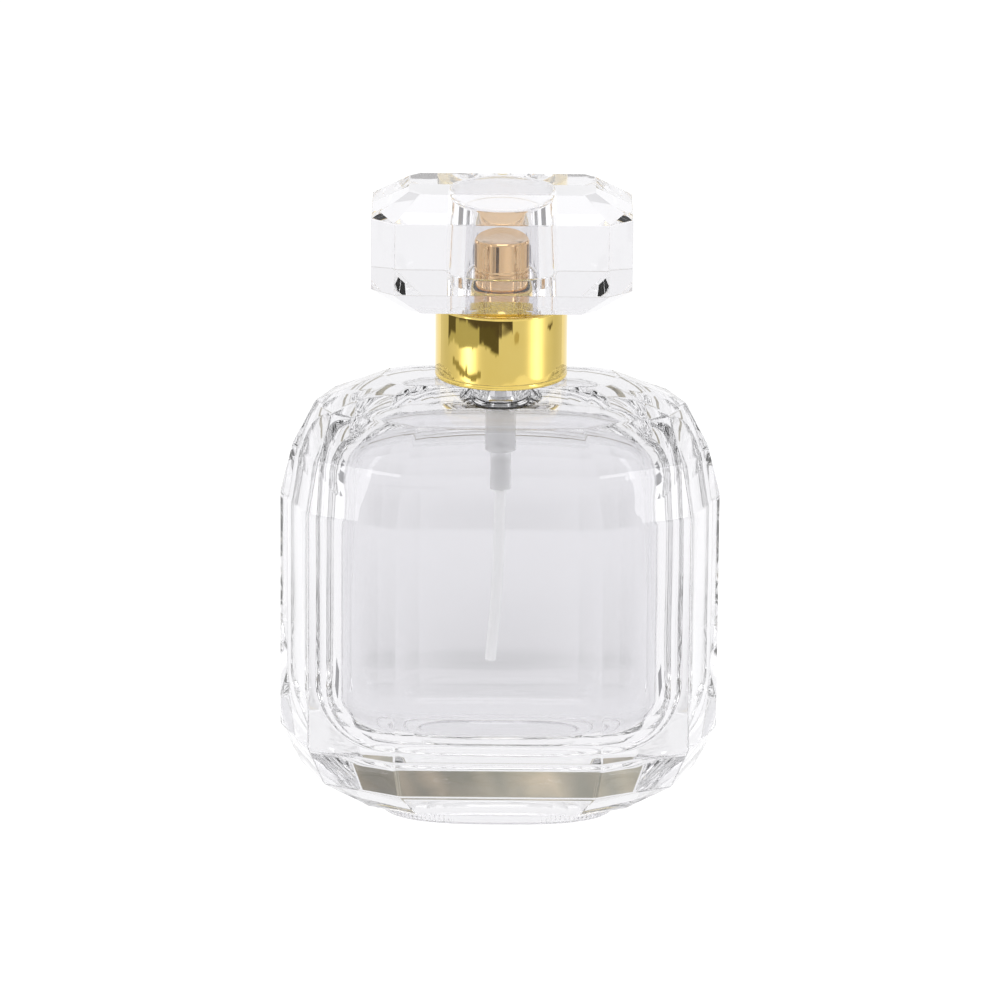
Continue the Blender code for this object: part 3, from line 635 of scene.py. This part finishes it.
def make_collar_shell():
    """The collar's thin shell, with the boss on top and a groove above the rolled lower edge."""
    low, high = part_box("collar")
    radius, bottom, top = high.x, low.z, high.z
    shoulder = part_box("cap_insert")[0].z - GAP
    profile = rounded(
        [
            (COLLAR_OPENING, top, EDGE_SOFT),
            (BOSS_RADIUS, top, EDGE_SOFT),
            (BOSS_RADIUS, shoulder, EDGE_ROUND),
            (radius, shoulder, EDGE_ROUND),
            (radius, bottom + GROOVE_TOP, EDGE_SOFT),
            (radius - GROOVE_DEPTH, bottom + GROOVE_MIDDLE, EDGE_CRISP),
            (radius, bottom + GROOVE_BOTTOM, EDGE_SOFT),
            (radius, bottom, COLLAR_ROLL),
            (radius - COLLAR_WALL, bottom, COLLAR_ROLL),
            (radius - COLLAR_WALL, shoulder - COLLAR_WALL, EDGE_ROUND),
            (COLLAR_OPENING, shoulder - COLLAR_WALL, EDGE_CRISP),
        ]
    )
    collar = mesh_object("collar_shell", turn(profile, STEPS_LARGE))
    smooth(collar, weighted=True)
    return collar


def bar_to_back(radius, near, far, height):
    """A round bar along +Y."""
    angles = [2.0 * math.pi * k / STEPS_SMALL for k in range(STEPS_SMALL)]
    rings = []
    for y in (near, far):
        rings.append([(radius * math.cos(a), y, height + radius * math.sin(a)) for a in angles])
    return loft(rings)


def make_button_sleeve():
    """The button's gold sleeve: a dished top, and a hole at the back for the nozzle."""
    low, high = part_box("actuator_shell")
    radius, bottom, top = high.x, low.z, high.z
    dish = [(reach, top - drop, rounding) for reach, drop, rounding in DISH_CORNERS]
    profile = rounded(
        [
            (0.0, top - DISH_DEPTH, 0.0),
            *dish,
            (radius - BUTTON_RIM, top, EDGE_SOFT),
            (radius, top - BUTTON_RIM, EDGE_ROUND),
            (radius, bottom, BUTTON_FOOT_ROUNDING),
            (radius - BUTTON_WALL, bottom, EDGE_CRISP),
            (radius - BUTTON_WALL, top - BUTTON_TOP_THICKNESS, EDGE_ROUND),
            (0.0, top - BUTTON_TOP_THICKNESS, 0.0),
        ]
    )
    sleeve = mesh_object("button_sleeve", turn(profile, STEPS_LARGE))
    nozzle_low, nozzle_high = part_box("nozzle_insert")
    centre = (nozzle_low.z + nozzle_high.z) / 2.0
    hole = bar_to_back(nozzle_high.x + GAP, NOZZLE_CUT_START, radius + OVERCUT, centre)
    combine(sleeve, "DIFFERENCE", hole)
    smooth(sleeve, weighted=True)
    return sleeve


def make_nozzle():
    """The spray nozzle: a plug with a flared cup round a fine hole."""
    low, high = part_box("nozzle_insert")
    radius, near, far = high.x, low.y, high.y
    length = far - near
    profile = rounded(
        [
            (NOZZLE_HOLE_RADIUS, 0.0, 0.0),
            (radius, 0.0, NOZZLE_ROUNDING),
            (radius, length, EDGE_SOFT),
            (NOZZLE_CUP_RADIUS, length, EDGE_CRISP),
            (NOZZLE_FLOOR_RADIUS, length - NOZZLE_FLOOR_DEPTH, EDGE_SOFT),
            (NOZZLE_HOLE_RADIUS, length - NOZZLE_CUP_DEPTH, NOZZLE_ROUNDING),
        ]
    )
    nozzle = mesh_object("nozzle", turn(profile, STEPS_SMALL))
    to_back = Matrix.Rotation(math.radians(-90.0), 4, "X")
    place = Matrix.Translation((0.0, near, (low.z + high.z) / 2.0))
    nozzle.data.transform(place @ to_back)
    smooth(nozzle)
    return nozzle


# ---------------------------------------------------------------- pump

def make_pump_body():
    """The housing: flange, neck, chamber, step and ridged nipple, with the ball's seat inside."""
    low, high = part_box("pump_housing")
    flange = high.x
    ridge_top, ridge_middle, ridge_bottom = NIPPLE_RIDGE_HEIGHTS
    profile = rounded(
        [
            (PUMP_MOUTH_RADIUS, high.z, EDGE_CRISP),
            (flange, high.z, EDGE_CRISP),
            (flange, high.z - PUMP_FLANGE_THICKNESS, EDGE_CRISP),
            (PUMP_NECK_RADIUS, high.z - PUMP_FLANGE_THICKNESS, EDGE_SOFT),
            (PUMP_NECK_RADIUS, PUMP_NECK_BOTTOM, EDGE_ROUND),
            (CHAMBER_RADIUS, CHAMBER_TOP, EDGE_ROUND),
            (CHAMBER_RADIUS, CHAMBER_BOTTOM, EDGE_SOFT),
            (STEP_RADIUS, STEP_BOTTOM, EDGE_SOFT),
            (NIPPLE_RADIUS, STEP_BOTTOM, EDGE_CRISP),
            (NIPPLE_RADIUS, ridge_top, EDGE_CRISP),
            (NIPPLE_RIDGE_RADIUS, ridge_middle, EDGE_CRISP),
            (NIPPLE_RADIUS, ridge_bottom, EDGE_CRISP),
            (NIPPLE_RADIUS, low.z, EDGE_SOFT),
            (INLET_RADIUS, low.z, EDGE_CRISP),
            (INLET_RADIUS, INLET_TOP, EDGE_CRISP),
            (SEAT_HOLE_RADIUS, INLET_TOP, EDGE_CRISP),
            (SEAT_HOLE_RADIUS, SEAT_BOTTOM, EDGE_CRISP),
            (SEAT_RADIUS, CHAMBER_FLOOR, EDGE_CRISP),
            (CHAMBER_BORE_RADIUS, CHAMBER_FLOOR, EDGE_SOFT),
            (CHAMBER_BORE_RADIUS, PUMP_LEDGE, EDGE_CRISP),
            (PUMP_MOUTH_RADIUS, PUMP_LEDGE, EDGE_CRISP),
        ]
    )
    housing = mesh_object("pump_body", turn(profile, STEPS_SMALL))
    smooth(housing)
    return housing


def sweep(path, radius):
    """Rings square to a path."""
    angles = [2.0 * math.pi * k / TUBE_STEPS for k in range(TUBE_STEPS)]
    rings = []
    for i, point in enumerate(path):
        heading = path[min(i + 1, len(path) - 1)] - path[max(i - 1, 0)]
        across = heading.cross(Vector((0.0, 1.0, 0.0))).normalized()
        upward = across.cross(heading).normalized()
        rings.append([point + radius * (across * math.cos(a) + upward * math.sin(a)) for a in angles])
    return rings


def make_suction_tube():
    """The hollow dip tube, whose lean grows with the square of the distance below the nipple."""
    low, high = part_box("dip_tube")
    nipple_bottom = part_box("pump_housing")[0].z
    path = []
    for i in range(TUBE_RINGS + 1):
        height = high.z + (low.z - high.z) * i / TUBE_RINGS
        bent = max(nipple_bottom - height, 0.0) / (nipple_bottom - low.z)
        path.append(Vector((TUBE_END_X * bent**2, TUBE_END_Y * bent**2, height)))
    outside = sweep(path, TUBE_RADIUS)
    inside = sweep(path, TUBE_BORE_RADIUS)
    tube = mesh_object("suction_tube", loft(outside + inside[::-1], joined=True))
    smooth(tube)
    return tube


def make_coil():
    """The return spring, with a dead coil at each end."""
    low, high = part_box("return_spring")
    bottom, top = low.z + WIRE_RADIUS, high.z - WIRE_RADIUS
    live_turns = COIL_TURNS - 2.0
    rings = []
    for i in range(int(COIL_TURNS * COIL_STEPS) + 1):
        angle = 2.0 * math.pi * i / COIL_STEPS
        turned = i / COIL_STEPS
        dead = DEAD_PITCH * min(turned, 1.0) + DEAD_PITCH * max(turned - (COIL_TURNS - 1.0), 0.0)
        live = min(max(turned - 1.0, 0.0), live_turns) / live_turns
        height = bottom + dead + (top - bottom - 2.0 * DEAD_PITCH) * live
        outward = Vector((math.cos(angle), math.sin(angle), 0.0))
        ring = []
        for k in range(WIRE_STEPS):
            a = 2.0 * math.pi * k / WIRE_STEPS
            upward = Vector((0.0, 0.0, height + WIRE_RADIUS * math.sin(a)))
            ring.append(outward * (COIL_RADIUS + WIRE_RADIUS * math.cos(a)) + upward)
        rings.append(ring)
    coil = mesh_object("coil_spring", loft(rings))
    smooth(coil)
    return coil


# ---------------------------------------------------------------- materials

def new_material(name, colour, roughness, metallic=0.0, transmission=0.0, ior=1.5):
    """A material and its shader, with the plain colour and finish that nodes then vary."""
    made = bpy.data.materials.new(name)
    made.use_nodes = True
    made.diffuse_color = (*colour, 1.0)
    shader = made.node_tree.nodes["Principled BSDF"]
    shader.inputs["Base Color"].default_value = (*colour, 1.0)
    shader.inputs["Roughness"].default_value = roughness
    shader.inputs["Metallic"].default_value = metallic
    shader.inputs["Transmission Weight"].default_value = transmission
    shader.inputs["IOR"].default_value = ior
    return made, shader


def object_noise(material, scale, detail, stretch):
    """Noise fixed to the object, in cycles for each metre."""
    tree = material.node_tree
    place = tree.nodes.new("ShaderNodeTexCoord")
    mapping = tree.nodes.new("ShaderNodeMapping")
    mapping.inputs["Scale"].default_value = stretch
    tree.links.new(place.outputs["Object"], mapping.inputs["Vector"])
    made = tree.nodes.new("ShaderNodeTexNoise")
    made.inputs["Scale"].default_value = scale
    made.inputs["Detail"].default_value = detail
    tree.links.new(mapping.outputs["Vector"], made.inputs["Vector"])
    return made


def spread(material, source, low, high):
    """Maps a 0 to 1 value to a range."""
    made = material.node_tree.nodes.new("ShaderNodeMapRange")
    made.inputs["To Min"].default_value = low
    made.inputs["To Max"].default_value = high
    material.node_tree.links.new(source, made.inputs["Value"])
    return made.outputs["Result"]


def blend_colours(material, source, low, high):
    """Maps a 0 to 1 value to a mix of two colours."""
    made = material.node_tree.nodes.new("ShaderNodeMix")
    made.data_type = "RGBA"
    made.inputs[6].default_value = (*low, 1.0)
    made.inputs[7].default_value = (*high, 1.0)
    material.node_tree.links.new(source, made.inputs[0])
    return made.outputs[2]


def add_bump(material, shader, source, strength, distance):
    """Bumps the shader's surface by a 0 to 1 height."""
    made = material.node_tree.nodes.new("ShaderNodeBump")
    made.inputs["Strength"].default_value = strength
    made.inputs["Distance"].default_value = distance
    material.node_tree.links.new(source, made.inputs["Height"])
    material.node_tree.links.new(made.outputs["Normal"], shader.inputs["Normal"])


def finish_surface(made, shader, colours, roughness, grain, bump, stretch=EVEN_GRAIN):
    """Varies colour and roughness with one noise, and bumps the surface with another.

    The grain is the scale of both noises, and the bump is its strength and its height.
    """
    tree = made.node_tree
    cloud_scale, bump_scale = grain
    cloud = object_noise(made, cloud_scale, detail=4.0, stretch=stretch)
    tree.links.new(blend_colours(made, cloud.outputs["Fac"], *colours), shader.inputs["Base Color"])
    tree.links.new(spread(made, cloud.outputs["Fac"], *roughness), shader.inputs["Roughness"])
    height = object_noise(made, bump_scale, detail=2.0, stretch=stretch)
    add_bump(made, shader, height.outputs["Fac"], *bump)


def make_flint_glass():
    made, shader = new_material(
        "flint_glass", (0.97, 0.968, 0.985), roughness=0.0, transmission=1.0, ior=1.52
    )
    finish_surface(
        made, shader,
        colours=((0.800, 0.796, 0.818), (0.820, 0.816, 0.832)), roughness=(0.0, 0.003),
        grain=(70.0, 110.0), bump=(0.16, 0.00007),
    )
    return made


def make_clear_acrylic():
    made, shader = new_material(
        "clear_acrylic", (0.98, 0.975, 0.99), roughness=0.0, transmission=1.0, ior=1.49
    )
    finish_surface(
        made, shader,
        colours=((0.805, 0.800, 0.822), (0.832, 0.827, 0.845)), roughness=(0.0, 0.01),
        grain=(120.0, 160.0), bump=(0.04, 0.00005),
    )
    return made


def make_clear_sleeve():
    made, shader = new_material(
        "clear_insert", (0.95, 0.95, 0.97), roughness=0.03, transmission=1.0, ior=1.49
    )
    finish_surface(
        made, shader,
        colours=((0.93, 0.93, 0.95), (0.97, 0.97, 0.98)), roughness=(0.0, 0.006),
        grain=(300.0, 500.0), bump=(0.1, 0.00005),
    )
    return made


def make_gold():
    made, shader = new_material("gold_anodised", (0.78, 0.58, 0.16), roughness=0.06, metallic=1.0)
    finish_surface(
        made, shader,
        colours=((0.74, 0.54, 0.13), (0.84, 0.66, 0.22)), roughness=(0.008, 0.03),
        grain=(160.0, 90.0), bump=(0.35, 0.0002), stretch=(1.0, 1.0, 0.7),
    )
    return made


def make_rose_gold():
    made, shader = new_material("rose_gold_anodised", (0.86, 0.62, 0.36), roughness=0.1, metallic=1.0)
    finish_surface(
        made, shader,
        colours=((0.80, 0.52, 0.26), (0.88, 0.62, 0.34)), roughness=(0.015, 0.04),
        grain=(200.0, 140.0), bump=(0.5, 0.0003), stretch=(1.0, 1.0, 0.25),
    )
    return made


def make_aluminium():
    made, shader = new_material("bare_aluminium", (0.80, 0.80, 0.81), roughness=0.3, metallic=1.0)
    finish_surface(
        made, shader,
        colours=((0.86, 0.86, 0.87), (0.93, 0.93, 0.94)), roughness=(0.3, 0.42),
        grain=(300.0, 900.0), bump=(0.2, 0.00004), stretch=(1.0, 1.0, 8.0),
    )
    return made


def make_steel():
    made, shader = new_material("spring_steel", (0.62, 0.62, 0.64), roughness=0.28, metallic=1.0)
    finish_surface(
        made, shader,
        colours=((0.55, 0.55, 0.57), (0.68, 0.68, 0.70)), roughness=(0.18, 0.34),
        grain=(500.0, 2500.0), bump=(0.15, 0.00002),
    )
    return made


def make_natural_pp():
    made, shader = new_material(
        "natural_polypropylene", (0.95, 0.95, 0.96), roughness=0.35, transmission=0.65, ior=1.2
    )
    finish_surface(
        made, shader,
        colours=((0.93, 0.93, 0.94), (0.98, 0.98, 0.98)), roughness=(0.28, 0.42),
        grain=(400.0, 900.0), bump=(0.15, 0.00004),
    )
    return made


def make_polyethylene():
    made, shader = new_material(
        "clear_polyethylene", (0.97, 0.97, 0.98), roughness=0.25, transmission=0.3, ior=1.2
    )
    finish_surface(
        made, shader,
        colours=((0.96, 0.96, 0.97), (0.99, 0.99, 0.99)), roughness=(0.18, 0.32),
        grain=(300.0, 700.0), bump=(0.1, 0.00004), stretch=(1.0, 1.0, 0.2),
    )
    return made


def make_white_pp():
    made, shader = new_material("white_polypropylene", (0.86, 0.85, 0.82), roughness=0.4)
    finish_surface(
        made, shader,
        colours=((0.83, 0.82, 0.79), (0.88, 0.87, 0.85)), roughness=(0.34, 0.48),
        grain=(400.0, 1500.0), bump=(0.2, 0.00003),
    )
    return made


def make_rubber():
    made, shader = new_material("seal_rubber", (0.03, 0.03, 0.03), roughness=0.7)
    finish_surface(
        made, shader,
        colours=((0.02, 0.02, 0.02), (0.045, 0.045, 0.045)), roughness=(0.6, 0.8),
        grain=(600.0, 2500.0), bump=(0.4, 0.00004),
    )
    return made


# ---------------------------------------------------------------- studio

def glow_paint(name, colour=None):
    """A paint that shines with one colour, or with the colours painted on the vertices."""
    paint = bpy.data.materials.new(name)
    paint.use_nodes = True
    tree = paint.node_tree
    tree.nodes.clear()
    glow = tree.nodes.new("ShaderNodeEmission")
    glow.inputs["Strength"].default_value = 1.0
    if colour:
        glow.inputs["Color"].default_value = (*colour, 1.0)
    else:
        painted = tree.nodes.new("ShaderNodeAttribute")
        painted.attribute_name = "shine"
        tree.links.new(painted.outputs["Color"], glow.inputs["Color"])
    out = tree.nodes.new("ShaderNodeOutputMaterial")
    tree.links.new(glow.outputs["Emission"], out.inputs["Surface"])
    return paint


def hide_card(card, in_mirrors):
    """Leaves a card only in what the glass bends, and in mirrored light if asked."""
    card.visible_camera = False
    card.visible_diffuse = False
    card.visible_glossy = in_mirrors
    card.visible_shadow = False


def make_card(name, centre, facing, width, height, colour):
    """A plain flat card, which no mirror shows."""
    shape = bmesh.new()
    bmesh.ops.create_grid(shape, x_segments=1, y_segments=1, size=0.5)
    card = mesh_object(name, shape)
    card.scale = (width, height, 1.0)
    card.location = centre
    card.rotation_mode = "QUATERNION"
    card.rotation_quaternion = Vector(facing).to_track_quat("Z", "Y")
    card.data.materials.append(glow_paint(name, colour))
    hide_card(card, in_mirrors=False)


def make_painted_card(name, rows, shine):
    """A card through rows of points, painted with shine(row, column)."""
    shape = bmesh.new()
    levels = [[shape.verts.new(point) for point in row] for row in rows]
    for lower, upper in zip(levels, levels[1:]):
        for i in range(len(lower) - 1):
            shape.faces.new((lower[i], lower[i + 1], upper[i + 1], upper[i]))
    card = mesh_object(name, shape)
    shines = card.data.color_attributes.new("shine", "FLOAT_COLOR", "POINT")
    wide = len(rows[0])
    for i in range(len(rows) * wide):
        shines.data[i].color = (*shine(i // wide, i % wide), 1.0)
    card.data.materials.append(glow_paint(name))
    hide_card(card, in_mirrors=True)


def between(low, high, index, count):
    """The place of one of many even steps from low to high."""
    return low + (high - low) * index / (count - 1.0)


def centred(half, index, count):
    """The place of one of many even steps from -half to half."""
    return half * (2.0 * index / (count - 1.0) - 1.0)


def bell(value, centre, width):
    """A soft bump of height 1."""
    return math.exp(-(((value - centre) / width) ** 2))


def uneven(along, across, layer):
    """Smooth noise between about -1 and 1, with its own pattern in each layer."""
    return noise.noise(Vector((along, across, layer)))


def painted_room_reflection(row, column):
    """Painted reflection of a dim olive room beyond the table, cloudy, with warm painted glints here and
    there.
    """
    cloud = uneven(column * 0.16, row * 0.25, layer=1.7)
    warm = max(uneven(column * 0.6, row * 0.9, layer=5.1), 0.0)
    olive = Vector(ROOM_OLIVE) * (1.0 + ROOM_CLOUDS * cloud)
    return tuple(olive + ROOM_WARMTH * warm * Vector(ROOM_WARM))


def make_painted_room_reflection():
    """A glowing strip behind the bottle, painted as the room's reflection, whose lower edge is uneven,
    like the far edge of a table.
    """
    rows = []
    for row in range(ROOM_ROWS):
        line = []
        for column in range(ROOM_COLUMNS):
            azimuth = math.radians(180.0 + centred(ROOM_SPREAD, column, ROOM_COLUMNS))
            x, y = ROOM_DISTANCE * math.sin(azimuth), -ROOM_DISTANCE * math.cos(azimuth)
            slow = uneven(column * 0.15, 0.0, layer=3.0)
            quick = uneven(column * 0.6, 0.0, layer=3.0)
            bottom = ROOM_BOTTOM + ROOM_EDGE_SLOW * slow + ROOM_EDGE_QUICK * quick
            line.append((x, y, between(bottom, ROOM_TOP, row, ROOM_ROWS)))
        rows.append(line)
    make_painted_card("painted_room_reflection_card", rows, painted_room_reflection)


def belled(white, azimuth, bells):
    """A grey that starts from one brightness and changes softly at some azimuths."""
    shine = white
    for strength, centre, width in bells:
        shine += strength * bell(azimuth, centre, width)
    return (shine, shine, shine)


def within(value, limits):
    """True between two limits, but not on them."""
    return limits[0] < value < limits[1]


def in_spot(azimuth, radius, spot):
    """True inside an oval spot of the fan."""
    middle_azimuth, middle_radius, half_azimuth, half_radius = spot
    sideways = (azimuth - middle_azimuth) / half_azimuth
    outward = (radius - middle_radius) / half_radius
    return math.hypot(sideways, outward) < 1.0


def far_fan_painted_reflection(azimuth, quick):
    """Painted reflection for the button: a dark stripe left of the middle, brightest to the right."""
    if abs(azimuth) > FAR_TABLE_REACH + TABLE_TURN_QUICK * quick:
        return FAR_TABLE_BEYOND
    if within(azimuth, FAR_TABLE_STRIPE):
        return FAR_TABLE_STRIPE_COLOUR
    return belled(1.0, azimuth, FAR_FAN_HIGHLIGHT_AND_SHADE_BELLS)


def painted_patch_reflection(azimuth, edge, slow, quick):
    """A painted pale reflection in front and to the left, with a painted dark outline at its far side
    and both ends.
    """
    right_part = azimuth > PATCH_RIGHT_PART + TABLE_TURN_SLOW * slow
    left_part = azimuth < PATCH_LEFT_PART + TABLE_TURN_QUICK * quick and edge > PATCH_LEFT_NEAR
    if edge > PATCH_OUTLINE_NEAR and (right_part or left_part):
        return PATCH_OUTLINE_COLOUR
    return PATCH_COLOUR


def fan_painted_reflection(row, column):
    """Painted reflections for the gold: painted highlights at both sides, with painted dark shapes in
    front.
    """
    radius = between(TABLE_NEAR, TABLE_FAR, row, TABLE_ROWS)
    azimuth = centred(TABLE_SPREAD, column, TABLE_COLUMNS)
    slow = TABLE_EDGE_SLOW * uneven(azimuth * 0.05, 0.0, layer=8.0)
    quick = TABLE_EDGE_QUICK * uneven(azimuth * 0.17, 0.0, layer=2.0)
    edge = radius + slow + quick
    if radius > FAR_TABLE_NEAR:
        return far_fan_painted_reflection(azimuth, quick)
    if edge > DARK_BAND_NEAR and within(azimuth, DARK_BAND_AZIMUTHS):
        return DARK_BAND_COLOUR
    if edge > PATCH_NEAR and within(azimuth, PATCH_AZIMUTHS):
        return painted_patch_reflection(azimuth, edge, slow, quick)
    if within(edge, OLIVE_BAND_RADII) and within(azimuth, OLIVE_BAND_AZIMUTHS):
        return OLIVE_BAND_COLOUR
    if in_spot(azimuth, radius, WARM_SPOT):
        return WARM_SPOT_COLOUR
    if in_spot(azimuth, radius, DARK_SPOT):
        return DARK_SPOT_COLOUR
    return belled(TABLE_WHITE, azimuth, FAN_HIGHLIGHT_AND_SHADE_BELLS)


def make_painted_reflection_fan():
    """A glowing fan on the table in front and at the sides, painted with reflections for the gold."""
    rows = []
    for row in range(TABLE_ROWS):
        radius = between(TABLE_NEAR, TABLE_FAR, row, TABLE_ROWS)
        line = []
        for column in range(TABLE_COLUMNS):
            azimuth = math.radians(centred(TABLE_SPREAD, column, TABLE_COLUMNS))
            line.append((radius * math.sin(azimuth), -radius * math.cos(azimuth), TABLE_HEIGHT))
        rows.append(line)
    make_painted_card("painted_reflection_fan", rows, fan_painted_reflection)


def shade_place(row, column):
    """A point of the shade card, from its row and column."""
    x = centred(SHADE_HALF_WIDTH, column, SHADE_STEPS)
    return x, between(SHADE_NEAR, SHADE_FAR, row, SHADE_STEPS)


def soft_spot(x, y, spot):
    """How much one soft spot behind the base darkens a place."""
    depth, centre, (y_size, x_size) = spot
    return depth * bell(y, centre, y_size) * bell(x, 0.0, x_size)


def shade_shine(row, column):
    """The soft shade that the base throws on the table behind it."""
    x, y = shade_place(row, column)
    ripple = 1.0 + SHADE_RIPPLE * uneven(column * 0.03, row * 0.6, layer=4.2)
    deep = soft_spot(x, y, SHADE_DEEP) * ripple
    wide = soft_spot(x, y, SHADE_WIDE)
    shine = SHADE_WHITE * (1.0 - deep - wide)
    return (shine, shine, shine)


def make_shade():
    """A card on the table behind the base, painted with its shade."""
    steps = range(SHADE_STEPS)
    rows = [[(*shade_place(row, column), SHADE_HEIGHT) for column in steps] for row in steps]
    make_painted_card("table_shade", rows, shade_shine)


def make_floor():
    """A wide pale disc under the bottle."""
    shape = bmesh.new()
    bmesh.ops.create_circle(shape, cap_ends=True, segments=FLOOR_STEPS, radius=FLOOR_RADIUS)
    floor = mesh_object("studio_floor", shape)
    paint = bpy.data.materials.new("studio_floor")
    paint.use_nodes = True
    shader = paint.node_tree.nodes["Principled BSDF"]
    shader.inputs["Base Color"].default_value = (*FLOOR_COLOUR, 1.0)
    shader.inputs["Roughness"].default_value = FLOOR_ROUGHNESS
    shader.inputs["Specular IOR Level"].default_value = 0.0
    floor.data.materials.append(paint)


def make_world():
    """An even white sky."""
    world = bpy.data.worlds.new("studio")
    bpy.context.scene.world = world
    world.use_nodes = True
    sky = world.node_tree.nodes["Background"]
    sky.inputs["Color"].default_value = (1.0, 1.0, 1.0, 1.0)
    sky.inputs["Strength"].default_value = SKY_STRENGTH


def make_light(name, centre, width, height, power):
    """A soft light aimed at the bottle."""
    data = bpy.data.lights.new(name, "AREA")
    data.shape = "RECTANGLE"
    data.size, data.size_y = width, height
    data.energy = power
    light = bpy.data.objects.new(name, data)
    light.location = centre
    light.rotation_mode = "QUATERNION"
    aim = LIGHT_AIM - Vector(centre)
    light.rotation_quaternion = aim.to_track_quat("-Z", "Y")
    bpy.context.scene.collection.objects.link(light)
    light.visible_camera = False


def make_dark_accent_cards(side):
    """Two small glowing grey cards at one side, painted dark accents that the glass shows as soft dark
    lines; they block no light.
    """
    make_card(
        "dark_accent_side", centre=(side * 0.068, 0.006, 0.052), facing=(-side, -0.2, 0.0),
        width=0.026, height=0.018, colour=(0.28, 0.28, 0.29),
    )
    make_card(
        "dark_accent_corner", centre=(side * 0.088, 0.020, 0.003), facing=(0.0, 0.0, 1.0),
        width=0.02, height=0.02, colour=(0.35, 0.35, 0.36),
    )


def make_studio():
    """The floor, the sky, the soft lights and the cards."""
    make_world()
    make_floor()
    for name, side in (("softbox_left", -1.0), ("softbox_right", 1.0)):
        make_light(name, centre=(side * 0.55, -0.30, 0.30), width=0.12, height=0.35, power=0.35)
    make_light("softbox_top", centre=(0.0, 0.1, 0.8), width=0.35, height=0.25, power=0.6)
    make_painted_room_reflection()
    make_painted_reflection_fan()
    make_shade()
    for side in (-1.0, 1.0):
        make_dark_accent_cards(side)


def make_camera():
    """The photograph's view, from a pinhole in front."""
    data = bpy.data.cameras.new("camera")
    data.sensor_width = SENSOR_WIDTH
    data.lens = SENSOR_WIDTH * CAMERA_DISTANCE / VIEW_WIDTH
    data.clip_start, data.clip_end = CLIP_START, CLIP_END
    camera = bpy.data.objects.new("camera", data)
    back = Vector((0.0, -math.cos(CAMERA_PITCH), math.sin(CAMERA_PITCH)))
    camera.location = CAMERA_TARGET + CAMERA_DISTANCE * back
    camera.rotation_mode = "QUATERNION"
    roll = Matrix.Rotation(CAMERA_ROLL, 3, "Z").to_quaternion()
    camera.rotation_quaternion = (-back).to_track_quat("-Z", "Y") @ roll
    bpy.context.scene.collection.objects.link(camera)
    bpy.context.scene.camera = camera


# ---------------------------------------------------------------- assembly

def place(piece, body, slot_name, material, *nodes):
    """A finer piece that stands for CAD nodes and rides on their body."""
    piece.data.materials.clear()
    piece.data.materials.append(material)
    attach(piece, body)
    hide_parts(*nodes)
    return piece


def finish_node(node, material):
    """A CAD node keeps its shape and gets a finer finish."""
    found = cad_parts[node]
    found.data.materials.clear()
    found.data.materials.append(material)


def place_spring(steel):
    """The spring, placed with a mesh of its own."""
    coil = place(make_coil(), "bottle", "spring_steel", steel, "return_spring")
    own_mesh(coil)


def main():
    bpy.context.scene.view_settings.view_transform = "Standard"
    cycles = bpy.context.scene.cycles
    cycles.max_bounces = MAX_BOUNCES
    cycles.transmission_bounces = MAX_BOUNCES
    cycles.glossy_bounces = GLOSSY_BOUNCES
    glass, acrylic, sleeve = make_flint_glass(), make_clear_acrylic(), make_clear_sleeve()
    gold, rose_gold, aluminium, steel = make_gold(), make_rose_gold(), make_aluminium(), make_steel()
    natural, tube, white, rubber = make_natural_pp(), make_polyethylene(), make_white_pp(), make_rubber()

    body = place(make_body_glass(), "bottle", "flint_glass", glass, "glass_bottle")
    crystal = place(make_cap_crystal(), "cap", "clear_acrylic", acrylic, "cap_block")
    insert = place(make_cap_sleeve(), "cap", "clear_insert", sleeve, "cap_insert")
    for clear in (body, crystal, insert):
        clear.visible_shadow = False
        clear.visible_diffuse = False
    place(make_collar_shell(), "collar", "gold_anodised", gold, "collar")
    place(make_button_sleeve(), "actuator", "rose_gold_anodised", rose_gold, "actuator_shell")
    place(make_nozzle(), "actuator", "white_polypropylene", white, "nozzle_insert")
    place(make_pump_body(), "bottle", "natural_polypropylene", natural, "pump_housing")
    place(make_suction_tube(), "bottle", "clear_polyethylene", tube, "dip_tube")
    place_spring(steel)

    for node in ("neck_gasket", "stem_seal"):
        finish_node(node, rubber)
    finish_node("crimp_ferrule", aluminium)
    finish_node("check_ball", steel)
    for node in ("pump_turret", "pump_stem", "piston", "collar_liner", "actuator_core"):
        finish_node(node, white)

    make_studio()
    make_camera()


main()
